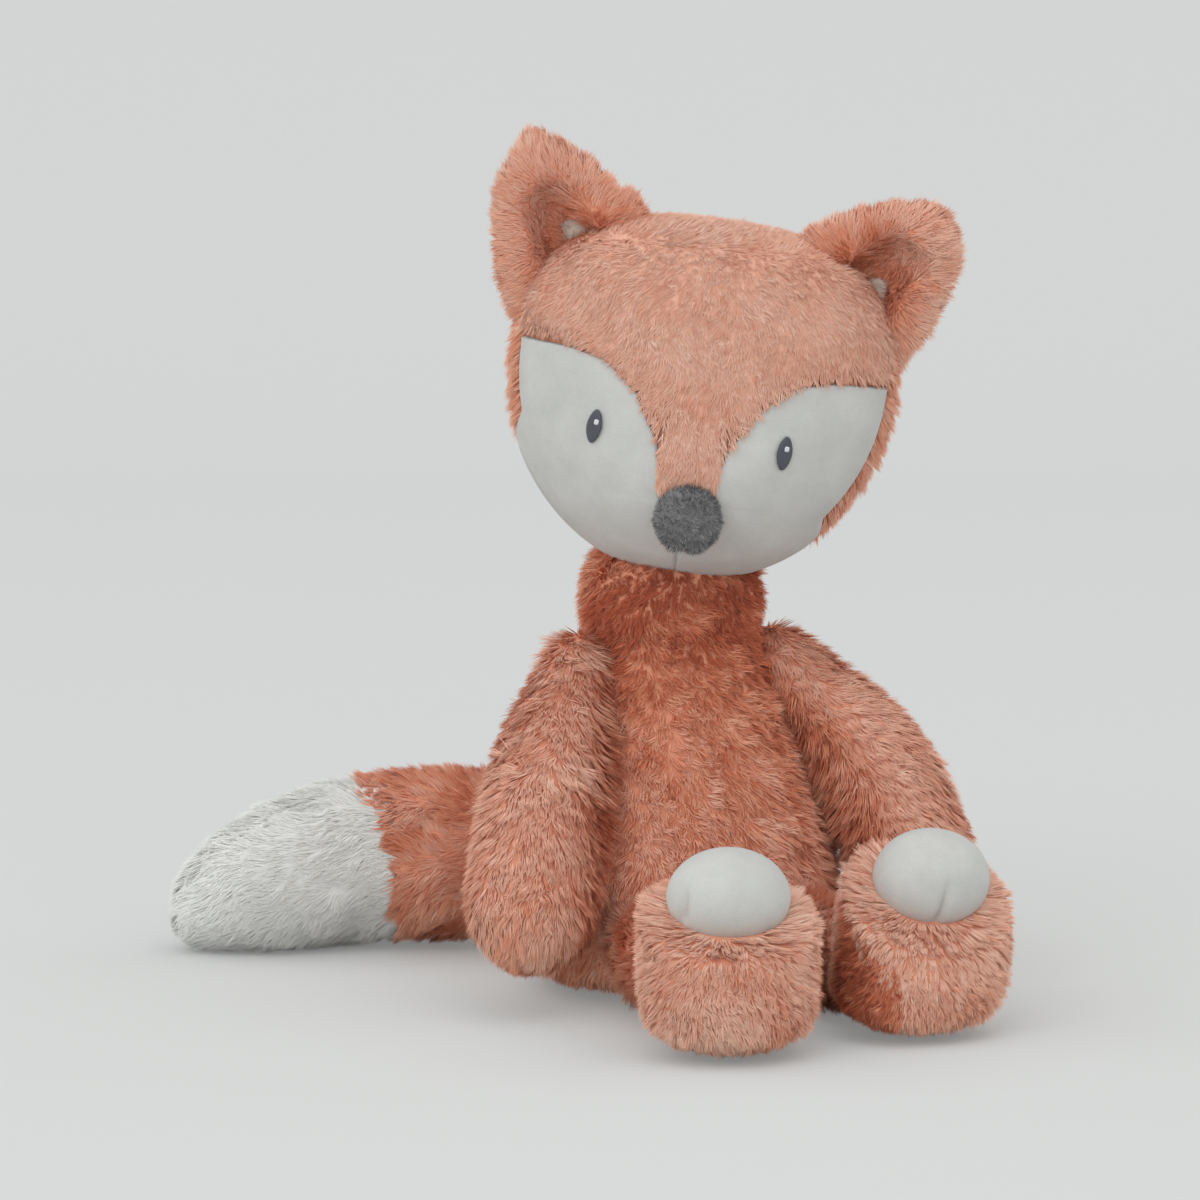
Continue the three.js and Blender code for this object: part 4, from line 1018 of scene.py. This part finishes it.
def cheek_panel(sign):
    """A cheek as a closed sheet: rows of height, each from the centre line or brow edge out to the seam,
    at two depths. Its front lies just under the solid's, and sinks towards its edges."""
    rows, columns = 88, 56
    edge = BROW_POINTS
    top, low = edge[:, 1].max() + 2.6, -HEAD_CHIN + 0.3
    z = (low + (top - low) * (1 - np.cos(np.linspace(0, np.pi, rows))) / 2)[:, None]
    order = np.maximum.accumulate(edge[:, 1]) + np.arange(len(edge)) * 1e-6
    line = np.where(z < edge[0, 1], 0.02, np.interp(z, order, edge[:, 0]) - 2.6)
    across = np.linspace(0, 1, columns)[None]
    rim = np.maximum(across ** 9, np.where(z < edge[0, 1], 0.08, 0.45) * (1 - across) ** 16)
    sheets = []
    for grow in (CHEEK_FRONT - CHEEK_RIM * rim, CHEEK_BACK + 0 * rim):
        wide, front, back = head_rows(z, grow)
        depth = seam_depth(np.full_like(z, sign), z)
        share = np.where(depth > 0, depth / front, depth / back)
        outer = np.arccos(bulge(np.clip(share, -1, 1), 4 / HEAD_FULLNESS))
        inner = np.arcsin(np.clip(np.maximum(line, 0.02) / wide, 0, 1) ** (HEAD_FULLNESS / 2))
        angle = np.minimum(inner, outer) + np.maximum(outer - inner, 0) * across
        narrow = 1 - ease(outer - inner, 0, 0.08)
        sheets.append(head_at(angle, z + 0 * angle, grow - 3 * narrow) * [sign, 1, 1])
    loop = np.concatenate([sheets[0], sheets[1][:, ::-1]], 1)
    return closed_skin(loop if sign > 0 else loop[:, ::-1])


class FOX_OT_face(Piece):
    """The nose and the two stitched eyes"""

    bl_idname = "fox.face"
    bl_label = "Nose and eyes"

    def build(self, got):
        depth = float(face_surface(np.array([NOSE_ASIDE]), np.array([-NOSE_DROP]), 0.0)[0]) - NOSE_PROUD
        ball = ball_form([half - 1.4 for half in NOSE_SIZE], 96, 65)
        cleft = np.exp(-(ball[..., 0] / 1.6) ** 2) * ease(-ball[..., 2], 4, 11)
        ball = ball * (1 - 0.2 * cleft)[..., None] + [NOSE_ASIDE, depth, -NOSE_DROP]
        nap = spikes(ball, 6.0, 81, nap=lambda r, n, a: rng_field(r, 5), length=1.9, lift=0.9, width=0.4,
                     lock=1.6, pull=0.35, wander=0.8, mottle=0.16)
        settle(mesh_object("nose_ball", [seat(closed_skin(ball)), seat(nap)], felt()), "head",
               ["nose"])
        for side, sign in SIDES:
            self.eye(side, sign)

    def eye(self, side, sign):
        """A leaf of satin stitch, with a small pale knot near its top."""
        thread = satin("rayon_thread_dark", "#3e4049", "#54565f")
        stitch = self.leaf(sign, (0, 0), EYE_HALF, 1.75, 1.1)
        settle(mesh_object(f"eye_{side}_stitch", [seat(stitch)], thread, mapped=False), "head",
               [f"eye_{side}"])
        thread = satin("rayon_thread_pale", "#c9c9ce", "#dedee2")
        knot = self.leaf(sign, (0.5, 1.6), (0.95, 1.1), 3.0, 1.6)
        settle(mesh_object(f"eye_{side}_knot", [seat(knot)], thread, mapped=False), "head",
               [])

    def leaf(self, sign, centre, half, fullness, height):
        """A low closed dome on the face: a superellipse in front, a millimetre and a half of depth behind."""
        rows, around = 15, 40
        out = np.sin(np.linspace(0, np.pi / 2, rows))[:, None]
        angle = np.arange(around) * 2 * np.pi / around
        a = math.radians(EYE_SLANT * sign - EYE_LEAN)
        px = centre[0] + half[0] * out * bulge(np.cos(angle), fullness)
        pz = centre[1] + half[1] * out * bulge(np.sin(angle), fullness)
        x = EYE_ASIDE + sign * EYE_SPACING / 2 + px * math.cos(a) - pz * math.sin(a)
        z = -EYE_DROP + px * math.sin(a) + pz * math.cos(a)
        dome = height * np.sqrt(np.clip(1 - out ** 4, 0, 1)) + 0 * px
        front = np.stack([x, face_surface(x, z, 0.0) - dome, z], -1)
        back = np.stack([x, face_surface(x, z, -1.5), z], -1)[::-1]
        return closed_skin(np.concatenate([front, back[1:]]))


def rng_field(points, seed):
    """A scattered direction at each point."""
    return np.random.default_rng(seed).normal(size=points.shape)


class FOX_OT_ears(Piece):
    """The folded ears and the pale lining in their hollows"""

    bl_idname = "fox.ears"
    bl_label = "Ears"

    def build(self, got):
        for side, sign in SIDES:
            form = mirrored(ear_form(side, -4.4, 12.0), sign)
            fold = np.array([(50.0 if side == "left" else 47.0) * sign, 0, 44.0])

            def outside(p):
                """Where the ear stands clear of the head, six millimetres in from its outline."""
                aside = np.abs(p[:, 0] / (HEAD_HALF_WIDTH - 6)) ** 2.3
                above = np.clip((p[:, 2] - HEAD_WIDEST) / (HEAD_CROWN - HEAD_WIDEST - 6), 0, 9) ** 2.3
                return aside + above > 1

            def away(root, normal, along):
                """Out from the fold."""
                return unit((root - fold) * [1, 0, 1])

            def fold_shade(root, normal):
                """Painted shade: darker and redder on the ear's front towards the fold's crease."""
                near = 1 - ease(np.linalg.norm((root - fold)[:, [0, 2]], axis=1), 8, 26)
                return 0.12 - 0.3 * near * (normal[:, 1] < 0)

            fur = spikes(form, got["density"] * 2.0, 90 + int(sign), keep=outside, nap=away,
                         length=got["length"] * 0.85, lift=0.5, width=got["width"] * 0.9, lock=2.6, pull=0.3,
                         spread=0.2, tint=fold_shade)
            settle(mesh_object(f"ear_{side}", [seat(closed_skin(form)), seat(fur)], orange()), "head",
                   [f"ear_{side}_cover"])
            self.lining(side, sign)

    def lining(self, side, sign):
        """A small pale wedge at the foot of the fold: an ellipsoid laid into the hollow."""
        place, half = EAR_LINING[side]
        ball = ball_form(half, 40, 25) + np.array(place) * [sign, 1, 1]
        nap = spikes(ball, 5.0, 95 + int(sign), nap=lambda r, n, a: rng_field(r, 6), length=2.2, lift=0.8,
                     width=0.4)
        settle(mesh_object(f"ear_{side}_inner", [seat(closed_skin(ball)), seat(nap)], shaded_lining_pile()), "head",
               [f"ear_{side}_lining"])


def seeing_rays(tree):
    """One for the rays that look at the background: from the camera, or by a reflection or through glass."""
    rays = add(tree, "ShaderNodeLightPath").outputs
    seen = add(tree, "ShaderNodeMath", {0: rays["Is Camera Ray"], 1: rays["Is Glossy Ray"]},
               operation="MAXIMUM")
    return add(tree, "ShaderNodeMath", {0: seen.outputs[0], 1: rays["Is Transmission Ray"]},
               operation="MAXIMUM")


class FOX_OT_stage(bpy.types.Operator):
    """The paper sweep, the soft lamps and the camera at the photograph's angle"""

    bl_idname = "fox.stage"
    bl_label = "Floor, light and camera"

    def execute(self, context):
        colour = tuple(context.scene.fox_stage.floor) + (1.0,)
        curve = [(2.2 + 0.6 * math.sin(a), 0.6 - 0.6 * math.cos(a)) for a in np.linspace(0, np.pi / 2, 17)]
        profile = [(-2.5, 0.0)] + curve + [(2.8, 3.5)]
        turn = math.radians(-CAMERA_ROUND)
        verts, faces = [], []
        for i, (y, z) in enumerate(profile):
            for x in (-4.0, 4.0):
                verts.append((x * math.cos(turn) - y * math.sin(turn),
                              x * math.sin(turn) + y * math.cos(turn), z))
            if i:
                faces.append((2 * i - 2, 2 * i - 1, 2 * i + 1, 2 * i))
        mesh = bpy.data.meshes.new("paper_sweep")
        mesh.from_pydata(verts, [], faces)
        mesh.polygons.foreach_set("use_smooth", [True] * len(faces))
        paper, tree, out = new_material("matt_paper")
        shader = add(tree, "ShaderNodeBsdfPrincipled", {"Base Color": colour, "Roughness": 1.0,
                                                       "Specular IOR Level": 0.0})
        seen = seeing_rays(tree)
        place = add(tree, "ShaderNodeTexCoord").outputs["Object"]
        length = add(tree, "ShaderNodeVectorMath", {0: place}, operation="LENGTH")
        far = add(tree, "ShaderNodeMapRange", {0: length.outputs["Value"], 1: 0.15, 2: 0.6, 3: 0.28, 4: 0.8},
                  interpolation_type="SMOOTHSTEP")
        part = add(tree, "ShaderNodeMath", {0: seen.outputs[0], 1: far.outputs[0]}, operation="MULTIPLY")
        glow = add(tree, "ShaderNodeEmission", {"Color": linear(BACKDROP)})
        mixed = add(tree, "ShaderNodeMixShader", {0: part.outputs[0], 1: shader.outputs[0],
                                                  2: glow.outputs[0]})
        tree.links.new(mixed.outputs[0], out.inputs[0])
        mesh.materials.append(paper)
        sweep = bpy.data.objects.new("paper_sweep", mesh)
        context.scene.collection.objects.link(sweep)
        world = bpy.data.worlds.new("soft_room")
        context.scene.world = world
        world.use_nodes = True
        tree = world.node_tree
        room = tree.nodes["Background"]
        room.inputs[0].default_value, room.inputs[1].default_value = (1, 1, 1, 1), 1.0
        beyond = add(tree, "ShaderNodeBackground", {"Color": linear(BACKDROP)})
        sky = add(tree, "ShaderNodeMixShader", {0: seeing_rays(tree).outputs[0], 1: room.outputs[0],
                                                2: beyond.outputs[0]})
        tree.links.new(sky.outputs[0], tree.nodes["World Output"].inputs[0])
        for name, place, size, power in LAMPS:
            lamp = bpy.data.lights.new(name, "AREA")
            lamp.size, lamp.energy = size, power
            made = bpy.data.objects.new(name, lamp)
            made.location = place
            made.rotation_euler = (Vector(LAMP_AIM) - Vector(place)).to_track_quat("-Z", "Y").to_euler()
            context.scene.collection.objects.link(made)
        camera = bpy.data.cameras.new("photo_camera")
        camera.lens, camera.sensor_width, camera.clip_start = LENS, 36.0, 0.05
        made = bpy.data.objects.new("photo_camera", camera)
        round_, up = math.radians(CAMERA_ROUND), math.radians(CAMERA_UP)
        away = Vector((-math.sin(round_) * math.cos(up), -math.cos(round_) * math.cos(up), math.sin(up)))
        made.location = Vector(CAMERA_AIM) + CAMERA_AWAY * away
        made.rotation_euler = (-away).to_track_quat("-Z", "Y").to_euler()
        context.scene.collection.objects.link(made)
        context.scene.camera = made
        context.scene.view_settings.view_transform = "Standard"
        return {"FINISHED"}


PIECES = (FOX_OT_body, FOX_OT_arms, FOX_OT_legs, FOX_OT_tail, FOX_OT_head, FOX_OT_face, FOX_OT_ears,
          FOX_OT_stage)


class FOX_PT_panel(bpy.types.Panel):
    """Lists the pieces of the fox"""

    bl_label = "Plush fox"
    bl_idname = "FOX_PT_panel"
    bl_space_type = "VIEW_3D"
    bl_region_type = "UI"
    bl_category = "Plush fox"

    def draw(self, context):
        for group in (context.scene.fox_fur, context.scene.fox_stage):
            for name in group.bl_rna.properties.keys():
                if name not in ("rna_type", "name"):
                    self.layout.prop(group, name)
        for piece in PIECES:
            self.layout.operator(piece.bl_idname)


CLASSES = (FurSizes, StageColours) + PIECES + (FOX_PT_panel,)


def register():
    """Adds the classes and their properties."""
    for made in CLASSES:
        bpy.utils.register_class(made)
    bpy.types.Scene.fox_fur = bpy.props.PointerProperty(type=FurSizes)
    bpy.types.Scene.fox_stage = bpy.props.PointerProperty(type=StageColours)


def unregister():
    """Takes them out again."""
    del bpy.types.Scene.fox_fur
    del bpy.types.Scene.fox_stage
    for made in reversed(CLASSES):
        bpy.utils.unregister_class(made)


def main():
    register()
    for piece in PIECES:
        group, name = piece.bl_idname.split(".")
        getattr(getattr(bpy.ops, group), name)()


if __name__ == "__main__":
    main()
